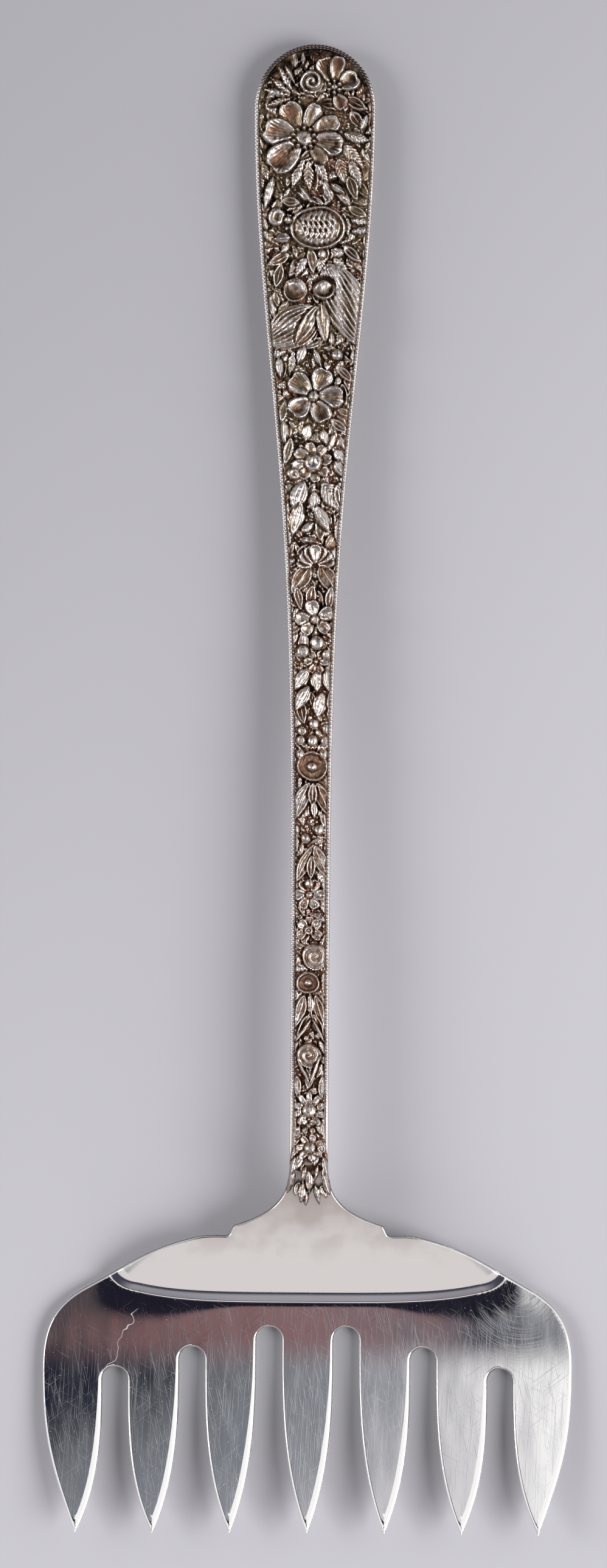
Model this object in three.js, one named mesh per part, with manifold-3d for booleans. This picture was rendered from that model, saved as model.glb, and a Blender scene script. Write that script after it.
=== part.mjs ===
// A silver sardine fork, lying face up on a table: a wide seven-tined head of formed sheet, lapped and
// hard-soldered to a tapering handle bar that carries a chased floral panel inside a beaded border.
// Millimetres, +Z up. X runs across the tines, +Y towards the butt of the handle, and the origin lies on
// the table under the middle of the fork.
import * as THREE from "three";
import { mergeVertices } from "three/addons/utils/BufferGeometryUtils.js";
import Module from "manifold-3d";

const wasm = await Module();
wasm.setup();

// Lengths along the fork, from the butt of the handle to the tips of the tines
const HANDLE_LENGTH = 114.5;
const SHOULDER_LENGTH = 13.7;
const PALM_LENGTH = 3.2;
const TINE_LENGTH = 21.0;

// Handle bar: a round butt, a long taper to a narrow neck, and an arch over the table
const BUTT_WIDTH = 12.4;
const BUTT_ROUND = 6.5;
const NECK_WIDTH = 3.9;
const TAPER = 37;
const BUTT_THICKNESS = 1.9;
const NECK_THICKNESS = 2.5;
const NECK_RISE = 3.4;
const BUTT_LAND = 5;

// Head: tines and the gaps between them
const TINE_COUNT = 7;
const TINE_PITCH = 7.9;
const TINE_WIDTH = 5.3;
const OUTER_BULGE = 3.5;
const ROOT_STEP = 2.1;

// Head: the outline of its shoulders, with places along the fork measured from the step
const LEDGE_HEIGHT = 6.3;
const LEDGE_HALF = 8.3;
const LEDGE_RUN = 3.2;
const LEDGE_FALL = 0.2;
const NOTCH_RUN = 0.8;
const NOTCH_RISE = 1.1;
const CORNER_HEIGHT = 0.8;
const CORNER_RUN = 4.6;
const WIDEST_DROP = 7.3;
const CURVE_PULL = 0.42;

// Head: sheet thickness, the formed step across it, and the upward sweep of the tines
const PLATE = 1.2;
const TIP_THICKNESS = 0.75;
const HEAD_NECK_THICKNESS = 1.4;
const STEP_DROP = 0.8;
const STEP_RUN = 1.0;
const STEP_BOW = 1.7;
const STEP_BOW_AT = 20;
const REST_LAND = 3.3;
const TIP_RISE = 2.2;
const CREST_LENGTH = 5;

// Soldered lap at the neck: the bar ends in a tongue, or heel drop, under the head
const HEEL_LENGTH = 9;
const HEEL_WIDTH = 5.6;
const HEEL_TIP_THICKNESS = 0.35;
const SOLDER_FILM = 0.2;
const SEAT_CLEARANCE = 0.05;

// Ornament: the beaded border, the chased panel inside it, and the relief on that panel
const BORDER_INSET = 0.1;
const BORDER_WIDTH = 0.5;
const BORDER_HEIGHT = 0.45;
const PANEL = 0.35;
const PANEL_FRINGE = 4.4;
const PETAL_RELIEF = 0.5;
const LEAF_RELIEF = 0.4;

// Chased flowers: millimetres from the butt, millimetres right of the middle, radius and number of petals
const FLOWERS = [
  [4.6, 1.8, 2.3, 5],
  [10.0, -1.0, 3.7, 7],
  [19.0, 0.5, 3.1, 9],
  [25.4, -0.6, 2.2, 4],
  [36.0, -0.3, 2.5, 5],
  [42.8, 0.1, 1.8, 6],
  [52.8, 0.7, 1.7, 5],
  [59.0, 0.3, 1.9, 5],
  [62.8, 0.3, 1.4, 5],
  [71.4, 0.3, 1.4, 6],
  [74.2, 0.2, 1.5, 5],
  [87.4, 0.0, 1.4, 5],
  [90.8, -0.1, 1.2, 5],
  [93.5, 0.3, 1.2, 6],
  [96.1, -0.3, 1.2, 6],
  [103.4, 0.0, 1.2, 5],
  [108.9, -0.1, 1.4, 8],
  [112.7, 0.0, 1.3, 6],
];
// Chased leaf pairs: millimetres from the butt to the leaf bases, leaf length and half-angle of the pair
const LEAF_PAIRS = [
  [27.5, 6.2, 32],
  [45.4, 5.4, 15],
  [54.4, 3.6, 22],
  [64.8, 4.2, 14],
  [76.4, 4.6, 12],
  [81.2, 4.4, 14],
  [97.6, 4.4, 14],
  [100.4, 3.0, 16],
  [114.4, 3.6, 20],
];

// Places along Y that follow from the lengths
const LENGTH = HANDLE_LENGTH + SHOULDER_LENGTH + PALM_LENGTH + TINE_LENGTH;
const BUTT_Y = LENGTH / 2;
const NECK_Y = BUTT_Y - HANDLE_LENGTH;
const STEP_Y = NECK_Y - SHOULDER_LENGTH;
const ROOT_Y = STEP_Y - PALM_LENGTH;
const TIP_Y = ROOT_Y - TINE_LENGTH;
const LAND_Y = STEP_Y - STEP_RUN / 2 - REST_LAND;
const JOINT_GAP = SOLDER_FILM + 2 * SEAT_CLEARANCE;
const HEAD_END_Y = NECK_Y - JOINT_GAP;
const HEEL_Y = NECK_Y - HEEL_LENGTH;
const FRINGE_Y = NECK_Y - PANEL_FRINGE;
const HEAD_HALF = ((TINE_COUNT - 1) / 2) * TINE_PITCH + OUTER_BULGE;
const PANEL_INSET = BORDER_INSET + BORDER_WIDTH + SEAT_CLEARANCE;
const NECK_TOP = NECK_RISE + NECK_THICKNESS;

const clamp01 = (t) => Math.min(1, Math.max(0, t));
const smooth = (t) => t * t * (3 - 2 * t);
const mix = (a, b, t) => a + (b - a) * t;
const steps = (from, to, count) => Array.from({ length: count + 1 }, (_, i) => mix(from, to, i / count));

// Half-width of the handle's outline at y, drawn in by an inset
function handleHalf(y, inset = 0) {
  const fromButt = BUTT_Y - inset - y;
  const round = BUTT_ROUND - inset;
  const widest = BUTT_WIDTH / 2 - inset;
  const neck = NECK_WIDTH / 2 - inset;
  if (fromButt < round) return widest * Math.sqrt(Math.max(0, 1 - (1 - fromButt / round) ** 2));
  return neck + (widest - neck) * Math.exp(-(((fromButt - round) / TAPER) ** 2));
}

// Underside of the handle bar: flat under the butt, then rising to the neck
function barUnder(y) {
  const rise = clamp01((BUTT_Y - BUTT_LAND - y) / (HANDLE_LENGTH - BUTT_LAND));
  return NECK_RISE * smooth(rise);
}

function barTop(y) {
  return barUnder(y) + mix(BUTT_THICKNESS, NECK_THICKNESS, clamp01((BUTT_Y - y) / HANDLE_LENGTH));
}

// How far the formed step bows towards the handle at x
const stepBow = (x) => STEP_BOW * (x / STEP_BOW_AT) ** 4;

// Height of the shoulder over the foot of the step: rounded over at the neck, then an even slope
function shoulderHeight(y) {
  const slope = (NECK_TOP - PLATE - STEP_DROP) / (SHOULDER_LENGTH - STEP_RUN / 2 - CREST_LENGTH / 2);
  const along = NECK_Y - y;
  const round = Math.min(Math.max(along, 0), CREST_LENGTH);
  const drop = (slope * round ** 2) / (2 * CREST_LENGTH) + slope * Math.max(0, along - CREST_LENGTH);
  return NECK_TOP - PLATE - STEP_DROP - drop;
}

// Top of the head: the shoulder, the formed step that fades out at its ends, and the swept-up tines
function headTop(x, y) {
  const straight = y - stepBow(x);
  const sweep = clamp01((LAND_Y - y) / (LAND_Y - TIP_Y));
  const plate = PLATE + TIP_RISE * sweep ** 2;
  const upStep = smooth(clamp01((straight - STEP_Y) / STEP_RUN + 0.5));
  const stepFade = Math.max(0, 1 - (x / (STEP_BOW_AT + STEP_BOW)) ** 4);
  return plate + upStep * STEP_DROP * stepFade + Math.max(0, shoulderHeight(straight));
}

function headThickness(x, y) {
  const toNeck = smooth(clamp01((y - stepBow(x) - STEP_Y - STEP_RUN / 2) / SHOULDER_LENGTH));
  const toTip = clamp01((LAND_Y - y) / (LAND_Y - TIP_Y));
  return mix(PLATE, HEAD_NECK_THICKNESS, toNeck) - (PLATE - TIP_THICKNESS) * toTip;
}

const headUnder = (x, y) => headTop(x, y) - headThickness(x, y);

// Top of the whole fork under its ornament
const forkTop = (x, y) => (y > NECK_Y ? barTop(y) : headTop(x, y));

// A closed three.js geometry as a solid that can be joined and cut, and back again
function solidOf(geometry) {
  const bare = geometry.index ? geometry.toNonIndexed() : geometry.clone();
  bare.deleteAttribute("normal");
  bare.deleteAttribute("uv");
  const merged = mergeVertices(bare, 1e-4);
  const triVerts = new Uint32Array(merged.index.array);
  const vertProperties = merged.attributes.position.array;
  return new wasm.Manifold(new wasm.Mesh({ numProp: 3, vertProperties, triVerts }));
}

function geometryOf(solid) {
  const { vertProperties, triVerts } = solid.getMesh();
  const geometry = new THREE.BufferGeometry();
  geometry.setAttribute("position", new THREE.BufferAttribute(vertProperties, 3));
  geometry.setIndex(new THREE.BufferAttribute(triVerts, 1));
  geometry.computeVertexNormals();
  return geometry;
}

function indexedGeometry(points, faces) {
  const geometry = new THREE.BufferGeometry();
  geometry.setAttribute("position", new THREE.Float32BufferAttribute(points, 3));
  geometry.setIndex(faces);
  return geometry;
}

// A block over a grid of columns and rows, with its underside and top at two heights.
// A row may bend: rowAt gives its y at each x.
function formedBlock(xs, rows, rowAt, under, top) {
  const points = [];
  for (const height of [under, top]) {
    for (const row of rows) {
      for (const x of xs) {
        const y = rowAt(x, row);
        points.push(x, y, height(x, y));
      }
    }
  }
  const across = xs.length;
  const layer = across * rows.length;
  const faces = [];
  const quad = (a, b, c, d) => faces.push(a, b, c, a, c, d);
  for (let r = 0; r + 1 < rows.length; r++) {
    for (let c = 0; c + 1 < across; c++) {
      const low = r * across + c;
      quad(layer + low, layer + low + 1, layer + low + across + 1, layer + low + across);
      quad(low, low + across, low + across + 1, low + 1);
    }
    const left = r * across;
    const right = left + across - 1;
    quad(left, layer + left, layer + left + across, left + across);
    quad(right, right + across, layer + right + across, layer + right);
  }
  for (let c = 0; c + 1 < across; c++) {
    const far = (rows.length - 1) * across + c;
    quad(c, c + 1, layer + c + 1, layer + c);
    quad(far, layer + far, layer + far + 1, far + 1);
  }
  return solidOf(indexedGeometry(points, faces));
}

// A tall prism over an outline, to trim formed blocks with. Where two curves of the outline meet, one of
// the two like points is dropped.
function prism(shape, curveSegments = 12) {
  const reach = NECK_TOP + TIP_RISE + PANEL + PETAL_RELIEF + PLATE;
  const points = shape.getPoints(curveSegments);
  const isApart = (point, i) => point.distanceTo(points[(i + 1) % points.length]) > 1e-3;
  const outline = new THREE.Shape(points.filter(isApart));
  const geometry = new THREE.ExtrudeGeometry(outline, { depth: 2 * reach, bevelEnabled: false });
  return solidOf(geometry.translate(0, 0, -reach));
}

// The handle's outline between two places, drawn in by an inset
function handleShape(inset, endY) {
  const roundEndY = BUTT_Y - BUTT_ROUND;
  const right = steps(Math.PI / 2, 0, 10).map((angle) => roundEndY + (BUTT_ROUND - inset) * Math.sin(angle));
  right.push(...steps(roundEndY, endY, 26).slice(1));
  const points = right.map((y) => new THREE.Vector2(handleHalf(y, inset), y));
  const mirrored = points.slice(1).map(({ x, y }) => new THREE.Vector2(-x, y));
  return new THREE.Shape([...points, ...mirrored.reverse()]);
}

// Rows that follow the handle's arch
const HANDLE_ROWS = 18;
const handleRows = (from, to) => steps(from, to, HANDLE_ROWS);
const straightRow = (x, row) => row;

// One side of the head's outline, from the neck to the outermost tip: places, and the headings in
// degrees in which the outline comes to each place and leaves it
function shoulderStations() {
  const lastTip = ((TINE_COUNT - 1) / 2) * TINE_PITCH;
  const ledgeY = STEP_Y + LEDGE_HEIGHT;
  return [
    { x: NECK_WIDTH / 2, y: HEAD_END_Y, comes: -90, leaves: -90 },
    { x: LEDGE_HALF - NOTCH_RUN, y: ledgeY + NOTCH_RISE, comes: -17, leaves: -30 },
    { x: LEDGE_HALF, y: ledgeY, comes: -30, leaves: 0 },
    { x: LEDGE_HALF + LEDGE_RUN, y: ledgeY - LEDGE_FALL, comes: -13, leaves: -14 },
    { x: HEAD_HALF - CORNER_RUN, y: STEP_Y + CORNER_HEIGHT, comes: -29, leaves: -28 },
    { x: HEAD_HALF, y: STEP_Y - WIDEST_DROP, comes: -90, leaves: -90 },
    { x: lastTip, y: TIP_Y, comes: -111, leaves: -111 },
  ];
}

// The two control points of the curve from one station to the next
function controls(from, to) {
  const pull = CURVE_PULL * Math.hypot(to.x - from.x, to.y - from.y);
  const leaves = THREE.MathUtils.degToRad(from.leaves);
  const comes = THREE.MathUtils.degToRad(to.comes);
  return [
    [from.x + pull * Math.cos(leaves), from.y + pull * Math.sin(leaves)],
    [to.x - pull * Math.cos(comes), to.y - pull * Math.sin(comes)],
  ];
}

function headShape() {
  const gapRadius = (TINE_PITCH - TINE_WIDTH) / 2;
  const tipX = (tine) => (tine - (TINE_COUNT - 1) / 2) * TINE_PITCH;
  const stations = shoulderStations();
  const shape = new THREE.Shape();

  // Right shoulder, from the neck: the ogee flare, the notch, the ledge, the brow, the corner, the outer tine
  shape.moveTo(stations[0].x, stations[0].y);
  for (let i = 1; i < stations.length; i++) {
    const [first, second] = controls(stations[i - 1], stations[i]);
    shape.bezierCurveTo(...first, ...second, stations[i].x, stations[i].y);
  }

  // Tines from right to left, with a round-rooted gap between each two
  for (let tine = TINE_COUNT - 1; tine > 0; tine--) {
    const gapX = (tipX(tine) + tipX(tine - 1)) / 2;
    const ring = Math.floor(Math.abs(gapX) / TINE_PITCH);
    const rootY = ROOT_Y - gapRadius - ROOT_STEP * ring;
    const rise = rootY - TIP_Y;
    const rightX = gapX + gapRadius;
    const leftX = gapX - gapRadius;
    shape.bezierCurveTo(rightX, TIP_Y + rise / 3, rightX, TIP_Y + (2 * rise) / 3, rightX, rootY);
    shape.absarc(gapX, rootY, gapRadius, 0, Math.PI, false);
    shape.bezierCurveTo(leftX, TIP_Y + (2 * rise) / 3, leftX, TIP_Y + rise / 3, tipX(tine - 1), TIP_Y);
  }

  // Left shoulder, the mirror of the right one, back up to the neck
  for (let i = stations.length - 1; i > 0; i--) {
    const [first, second] = controls(stations[i - 1], stations[i]);
    const end = stations[i - 1];
    shape.bezierCurveTo(-second[0], second[1], -first[0], first[1], -end.x, end.y);
  }
  return shape;
}

function tineHead() {
  const stepTop = STEP_Y + STEP_RUN / 2;
  const stepFoot = STEP_Y - STEP_RUN / 2;
  const rows = [
    ...steps(TIP_Y - 1, LAND_Y, 8),
    ...steps(stepFoot, stepTop, 4),
    ...steps(NECK_Y - CREST_LENGTH, NECK_Y + 1, 5),
  ];
  // Rows bend with the step from its foot upwards, and run straight across the tines
  const rowAt = (x, row) => row + (row < LAND_Y + 1e-6 ? 0 : stepBow(x));
  const reach = HEAD_HALF + 1;
  const block = formedBlock(steps(-reach, reach, 26), rows, rowAt, headUnder, headTop);
  return block.intersect(prism(headShape(), 8));
}

// The tongue's outline under the head: as wide as the neck where it starts, with a round end
function heelShape(startY) {
  const round = HEEL_WIDTH / 2;
  const pull = HEEL_LENGTH / 3;
  const shape = new THREE.Shape();
  shape.moveTo(NECK_WIDTH / 2, startY);
  shape.lineTo(-NECK_WIDTH / 2, startY);
  shape.bezierCurveTo(-NECK_WIDTH / 2, NECK_Y - pull, -round, HEEL_Y + round + pull, -round, HEEL_Y + round);
  shape.absarc(0, HEEL_Y + round, round, Math.PI, 2 * Math.PI, false);
  shape.bezierCurveTo(round, HEEL_Y + round + pull, NECK_WIDTH / 2, NECK_Y - pull, NECK_WIDTH / 2, startY);
  return shape;
}

const heelTop = (x, y) => headUnder(x, y) - JOINT_GAP;

function heelUnder(x, y) {
  const atNeck = headUnder(0, NECK_Y) - JOINT_GAP - NECK_RISE;
  return heelTop(x, y) - mix(atNeck, HEEL_TIP_THICKNESS, clamp01((NECK_Y - y) / HEEL_LENGTH));
}

// The neck end of the bar, below the head: rows close enough to follow the crest
const heelRows = (from) => steps(HEEL_Y - 0.2, from, 9);
const HEEL_COLUMNS = steps(-HEEL_WIDTH, HEEL_WIDTH, 4);

function handleBar() {
  const reach = BUTT_WIDTH;
  const rows = handleRows(NECK_Y, BUTT_Y + 1);
  const block = formedBlock([-reach, reach], rows, straightRow, (x, y) => barUnder(y), (x, y) => barTop(y));
  const bar = block.intersect(prism(handleShape(0, NECK_Y)));
  const overlap = 0.6;
  const tongue = formedBlock(HEEL_COLUMNS, heelRows(NECK_Y + overlap), straightRow, heelUnder, heelTop);
  return bar.add(tongue.intersect(prism(heelShape(NECK_Y + overlap / 2))));
}

// Hard solder in the lap: a film over the tongue, turned up between the end of the bar and the head
function heelSolder() {
  const under = (x, y) => heelTop(x, y) + SEAT_CLEARANCE;
  const top = (x, y) => headUnder(x, y) - SEAT_CLEARANCE;
  const film = formedBlock(HEEL_COLUMNS, heelRows(NECK_Y), straightRow, under, top);
  const flat = film.intersect(prism(heelShape(NECK_Y - SEAT_CLEARANCE)));
  const legHeight = HEAD_NECK_THICKNESS + SOLDER_FILM;
  const leg = new THREE.BoxGeometry(NECK_WIDTH, SOLDER_FILM, legHeight);
  const legTop = NECK_TOP - SEAT_CLEARANCE;
  leg.translate(0, NECK_Y - JOINT_GAP / 2, legTop - legHeight / 2);
  return flat.add(solidOf(leg));
}

// Rows for what lies on the front of the fork, from the fringe at the neck up to the butt
const frontRows = () => [...steps(FRINGE_Y - 1, NECK_Y, 6), ...handleRows(NECK_Y, BUTT_Y + 1).slice(1)];

function frontBlock(low, high) {
  const under = (x, y) => forkTop(0, y) + low;
  const top = (x, y) => forkTop(0, y) + high;
  return formedBlock([-BUTT_WIDTH, BUTT_WIDTH], frontRows(), straightRow, under, top);
}

function beadBorder() {
  const outer = prism(handleShape(BORDER_INSET, NECK_Y + SEAT_CLEARANCE));
  const inner = prism(handleShape(BORDER_INSET + BORDER_WIDTH, NECK_Y - BORDER_WIDTH));
  return frontBlock(SEAT_CLEARANCE, BORDER_HEIGHT).intersect(outer).subtract(inner);
}

// Lays a flat ornament on the front of the fork: its z becomes the height over the panel
function draped(points, faces) {
  const laid = points.map(([x, y, z]) => [x, y, z + forkTop(0, y) + PANEL]);
  return solidOf(indexedGeometry(laid.flat(), faces));
}

const ORNAMENT_ROOT = -PANEL / 2;

// A flower: a domed eye, a dip round it, and a ring of lobed petals
function flower([fromButt, across, radius, petals]) {
  const segments = petals * 4;
  const rings = [
    [0.26, 0.55, 0],
    [0.66, 0.75, 0.35],
    [1.0, 0.25, 0.35],
  ];
  const y0 = BUTT_Y - fromButt;
  const points = [[across, y0, ORNAMENT_ROOT], [across, y0, PETAL_RELIEF]];
  const lobe = (i) => 0.5 + 0.5 * Math.cos((2 * Math.PI * i * petals) / segments);
  const ringAt = (share, height, notch) => {
    for (let i = 0; i < segments; i++) {
      const angle = (2 * Math.PI * i) / segments;
      const r = radius * share * (1 - notch * share * (1 - lobe(i)) * 0.6);
      points.push([across + r * Math.cos(angle), y0 + r * Math.sin(angle), height]);
    }
  };
  for (const [share, height, notch] of rings) ringAt(share, height * PETAL_RELIEF, notch);
  ringAt(rings.at(-1)[0], ORNAMENT_ROOT, rings.at(-1)[2]);
  const faces = [];
  const at = (ring, i) => 2 + ring * segments + (i % segments);
  for (let i = 0; i < segments; i++) {
    faces.push(1, at(0, i), at(0, i + 1));
    for (let ring = 0; ring < rings.length; ring++) {
      faces.push(at(ring, i), at(ring + 1, i), at(ring + 1, i + 1));
      faces.push(at(ring, i), at(ring + 1, i + 1), at(ring, i + 1));
    }
    faces.push(0, at(rings.length, i + 1), at(rings.length, i));
  }
  return draped(points, faces);
}

// A leaf: pointed at both ends, with a raised midrib
function leaf(baseX, baseY, length, angle) {
  const along = [0.2, 0.5, 0.8];
  const halfWidth = (t) => 0.22 * length * Math.sin(Math.PI * t ** 0.8);
  const place = (t, side, height) => {
    const forward = t * length;
    const sideways = side * halfWidth(t);
    const x = baseX + forward * Math.sin(angle) + sideways * Math.cos(angle);
    const y = baseY - forward * Math.cos(angle) + sideways * Math.sin(angle);
    return [x, y, height];
  };
  const edge = LEAF_RELIEF * 0.25;
  const rim = [[0, 0], ...along.map((t) => [t, -1]), [1, 0], ...along.map((t) => [t, 1]).reverse()];
  const count = rim.length;
  const points = [
    ...rim.map(([t, side]) => place(t, side, ORNAMENT_ROOT)),
    ...rim.map(([t, side]) => place(t, side, edge)),
    ...along.map((t) => place(t, 0, LEAF_RELIEF)),
  ];
  const faces = [];
  for (let i = 0; i < count; i++) {
    const next = (i + 1) % count;
    faces.push(i, next, count + next, i, count + next, count + i);
    if (i > 0 && i + 1 < count) faces.push(0, i + 1, i);
  }
  const top = (i) => count + (i % count);
  const rib = (i) => 2 * count + i;
  const ribs = along.length;
  faces.push(top(0), top(1), rib(0));
  faces.push(top(count - 1), top(0), rib(0));
  for (let i = 0; i + 1 < ribs; i++) {
    faces.push(top(i + 1), top(i + 2), rib(i), top(i + 2), rib(i + 1), rib(i));
    faces.push(top(count - 1 - i), rib(i), top(count - 2 - i), top(count - 2 - i), rib(i), rib(i + 1));
  }
  faces.push(top(ribs), top(ribs + 1), rib(ribs - 1));
  faces.push(top(ribs + 1), top(ribs + 2), rib(ribs - 1));
  return draped(points, faces);
}

function leafPair([fromButt, length, halfAngle]) {
  const angle = (halfAngle * Math.PI) / 180;
  const spread = 0.18 * length;
  return [-1, 1].map((side) => leaf(side * spread, BUTT_Y - fromButt, length, side * angle));
}

// The chased panel: thin sheet over the front of the handle, with its flowers and leaves
function floralPanel() {
  const outline = prism(handleShape(PANEL_INSET, FRINGE_Y));
  const sheet = frontBlock(SEAT_CLEARANCE, PANEL).intersect(outline);
  const isOnPanel = ([fromButt]) => BUTT_Y - fromButt > FRINGE_Y;
  const flowers = FLOWERS.filter(isOnPanel).map(flower);
  const leaves = LEAF_PAIRS.filter(isOnPanel).flatMap(leafPair);
  const relief = [...flowers, ...leaves].reduce((all, one) => all.add(one));
  return sheet.add(relief.intersect(outline));
}

// Silver by its colour and roughness: polished plate and bar, satin beads and solder, darkened chasing
const silver = (color, roughness) => new THREE.MeshStandardMaterial({ color, roughness, metalness: 1 });

const fork = new THREE.Group();
fork.name = "sardine_fork";
const pieces = [
  ["tine_head", tineHead(), silver(0xdcdad6, 0.12)],
  ["handle_bar", handleBar(), silver(0xd6d3cd, 0.18)],
  ["heel_solder", heelSolder(), silver(0xc4c1ba, 0.35)],
  ["floral_panel", floralPanel(), silver(0xa89c8a, 0.32)],
  ["bead_border", beadBorder(), silver(0xcfcac2, 0.25)],
];
for (const [name, solid, material] of pieces) {
  const mesh = new THREE.Mesh(geometryOf(solid), material);
  mesh.name = name;
  fork.add(mesh);
}

export default fork;
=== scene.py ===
# The looks of the sardine fork: a polished seven-tined head, and a bar with a chased floral front and a
# beaded wire. Sizes are in millimetres, as in the part's source, and become metres where a mesh is made.
import math

import bpy
import numpy as np
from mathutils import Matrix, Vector
from mathutils.geometry import delaunay_2d_cdt


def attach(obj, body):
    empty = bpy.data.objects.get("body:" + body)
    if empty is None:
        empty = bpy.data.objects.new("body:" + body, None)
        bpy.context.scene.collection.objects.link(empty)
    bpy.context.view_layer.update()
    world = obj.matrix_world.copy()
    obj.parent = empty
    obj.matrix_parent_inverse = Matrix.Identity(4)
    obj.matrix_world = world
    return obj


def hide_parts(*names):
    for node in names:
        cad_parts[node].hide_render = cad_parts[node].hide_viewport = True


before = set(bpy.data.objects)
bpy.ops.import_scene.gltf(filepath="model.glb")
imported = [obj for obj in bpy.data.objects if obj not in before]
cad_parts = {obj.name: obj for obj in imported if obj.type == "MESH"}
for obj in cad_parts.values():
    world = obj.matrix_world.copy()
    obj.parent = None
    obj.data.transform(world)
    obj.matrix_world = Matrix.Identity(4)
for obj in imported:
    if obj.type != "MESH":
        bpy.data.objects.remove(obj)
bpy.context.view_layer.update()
MM = 0.001

# Lengths along the fork
HANDLE_LENGTH = 114.5
SHOULDER_LENGTH = 13.7
PALM_LENGTH = 3.2
TINE_LENGTH = 21.0
BUTT_Y = (HANDLE_LENGTH + SHOULDER_LENGTH + PALM_LENGTH + TINE_LENGTH) / 2
NECK_Y = BUTT_Y - HANDLE_LENGTH
STEP_Y = NECK_Y - SHOULDER_LENGTH
ROOT_Y = STEP_Y - PALM_LENGTH
TIP_Y = ROOT_Y - TINE_LENGTH

# Handle bar
BUTT_WIDTH = 12.4
BUTT_ROUND = 6.5
NECK_WIDTH = 3.9
TAPER = 37
BUTT_THICKNESS = 1.9
NECK_THICKNESS = 2.5
NECK_RISE = 3.4
BUTT_LAND = 5
NECK_TOP = NECK_RISE + NECK_THICKNESS

# Head
TINE_COUNT = 7
TINE_PITCH = 7.9
TINE_WIDTH = 5.3
OUTER_BULGE = 3.5
ROOT_STEP = 2.1
LAST_TIP = (TINE_COUNT - 1) / 2 * TINE_PITCH
HEAD_HALF = LAST_TIP + OUTER_BULGE
LEDGE_HEIGHT = 6.3
LEDGE_HALF = 8.3
LEDGE_RUN = 3.2
LEDGE_FALL = 0.2
NOTCH_RUN = 0.8
NOTCH_RISE = 1.1
CORNER_HEIGHT = 0.8
CORNER_RUN = 4.6
WIDEST_DROP = 7.3
CURVE_PULL = 0.42
PLATE = 1.2
TIP_THICKNESS = 0.75
HEAD_NECK_THICKNESS = 1.4
STEP_DROP = 0.8
STEP_RUN = 1.5
STEP_BOW = 1.7
STEP_BOW_AT = 20
STEP_END = 20.2
STEP_END_ROUND = 2.4
REST_LAND = 3.3
LAND_Y = STEP_Y - STEP_RUN / 2 - REST_LAND
TIP_RISE = 2.2
CREST_LENGTH = 2
STEP_FOOT_ROUND = 0.15
STEP_HEAD_ROUND = 0.5
SHOULDER_SLOPE = (NECK_TOP - PLATE - STEP_DROP) / (
    SHOULDER_LENGTH - (STEP_RUN * (1 - STEP_HEAD_ROUND) + CREST_LENGTH) / 2
)
FOOT_SLOPE = 0.1
FOOT_REACH = 0.2
FOOT_REACH_AT_ENDS = 1.6
FOOT_WIDENS_AT = 6

# Soldered lap at the neck
HEEL_LENGTH = 9
HEEL_WIDTH = 5.6
HEEL_TIP_THICKNESS = 0.35
JOINT_GAP = 0.3
HEEL_Y = NECK_Y - HEEL_LENGTH

# Ornament
PANEL_INSET = 0.42
PANEL_FRINGE = 4.4
FRINGE_FLARE = 0.6
FRINGE_Y = NECK_Y - PANEL_FRINGE
WIRE_INSET = 0.22
WIRE_RADIUS = 0.18
BEAD_PITCH = 0.38


# Heights and widths: the solids' own, with a softer step and a shorter crest of the shoulder

def smooth(t):
    t = np.clip(t, 0, 1)
    return t * t * (3 - 2 * t)


def ramp(low, high, value):
    return smooth((value - low) / (high - low))


def bell(value, width):
    return np.exp(-((value / width) ** 2))


def handle_half(y, inset=0.0):
    from_butt = BUTT_Y - inset - y
    rounding = BUTT_ROUND - inset
    widest = BUTT_WIDTH / 2 - inset
    neck = NECK_WIDTH / 2 - inset
    arc = widest * np.sqrt(np.clip(1 - (1 - from_butt / rounding) ** 2, 0, 1))
    taper = neck + (widest - neck) * bell(from_butt - rounding, TAPER)
    return np.where(from_butt < rounding, arc, taper)


def bar_under(y):
    return NECK_RISE * smooth((BUTT_Y - BUTT_LAND - y) / (HANDLE_LENGTH - BUTT_LAND))


def bar_top(y):
    share = np.clip((BUTT_Y - y) / HANDLE_LENGTH, 0, 1)
    return bar_under(y) + BUTT_THICKNESS + (NECK_THICKNESS - BUTT_THICKNESS) * share


def step_bow(x):
    return STEP_BOW * (x / STEP_BOW_AT) ** 4


# A rise from 0 to 1 with an even slope, a short round at its foot and a longer one at its head
def eased(t):
    foot, head = STEP_FOOT_ROUND, STEP_HEAD_ROUND
    t = np.clip(t, 0, 1)
    first = np.clip(t, 0, foot)
    middle = np.clip(t, foot, 1 - head) - foot
    last = np.clip(t, 1 - head, 1) - 1 + head
    return (first**2 / (2 * foot) + middle + last - last**2 / (2 * head)) / (1 - (foot + head) / 2)


# Height of the shoulder over the head of the step, which it runs into with a round of the same length
def shoulder_height(y):
    along = NECK_Y - y
    crest = np.clip(along, 0, CREST_LENGTH)
    drop = crest**2 / (2 * CREST_LENGTH) + np.maximum(0, along - CREST_LENGTH)
    height = NECK_TOP - PLATE - STEP_DROP - SHOULDER_SLOPE * drop
    blend = SHOULDER_SLOPE * STEP_RUN * STEP_HEAD_ROUND / 2
    return np.where(np.abs(height) < blend, (height + blend) ** 2 / (4 * blend), np.maximum(0, height))


# How far a place lies behind the step, which bows along its length and turns back round both ends
def behind_step(x, y):
    along = y - step_bow(x) - STEP_Y
    inside = STEP_END - np.abs(x)
    share = np.clip(0.5 + 0.5 * (inside - along) / STEP_END_ROUND, 0, 1)
    return inside * (1 - share) + along * share - STEP_END_ROUND * share * (1 - share)


def to_tip(y):
    return np.clip((LAND_Y - y) / (LAND_Y - TIP_Y), 0, 1)


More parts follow.
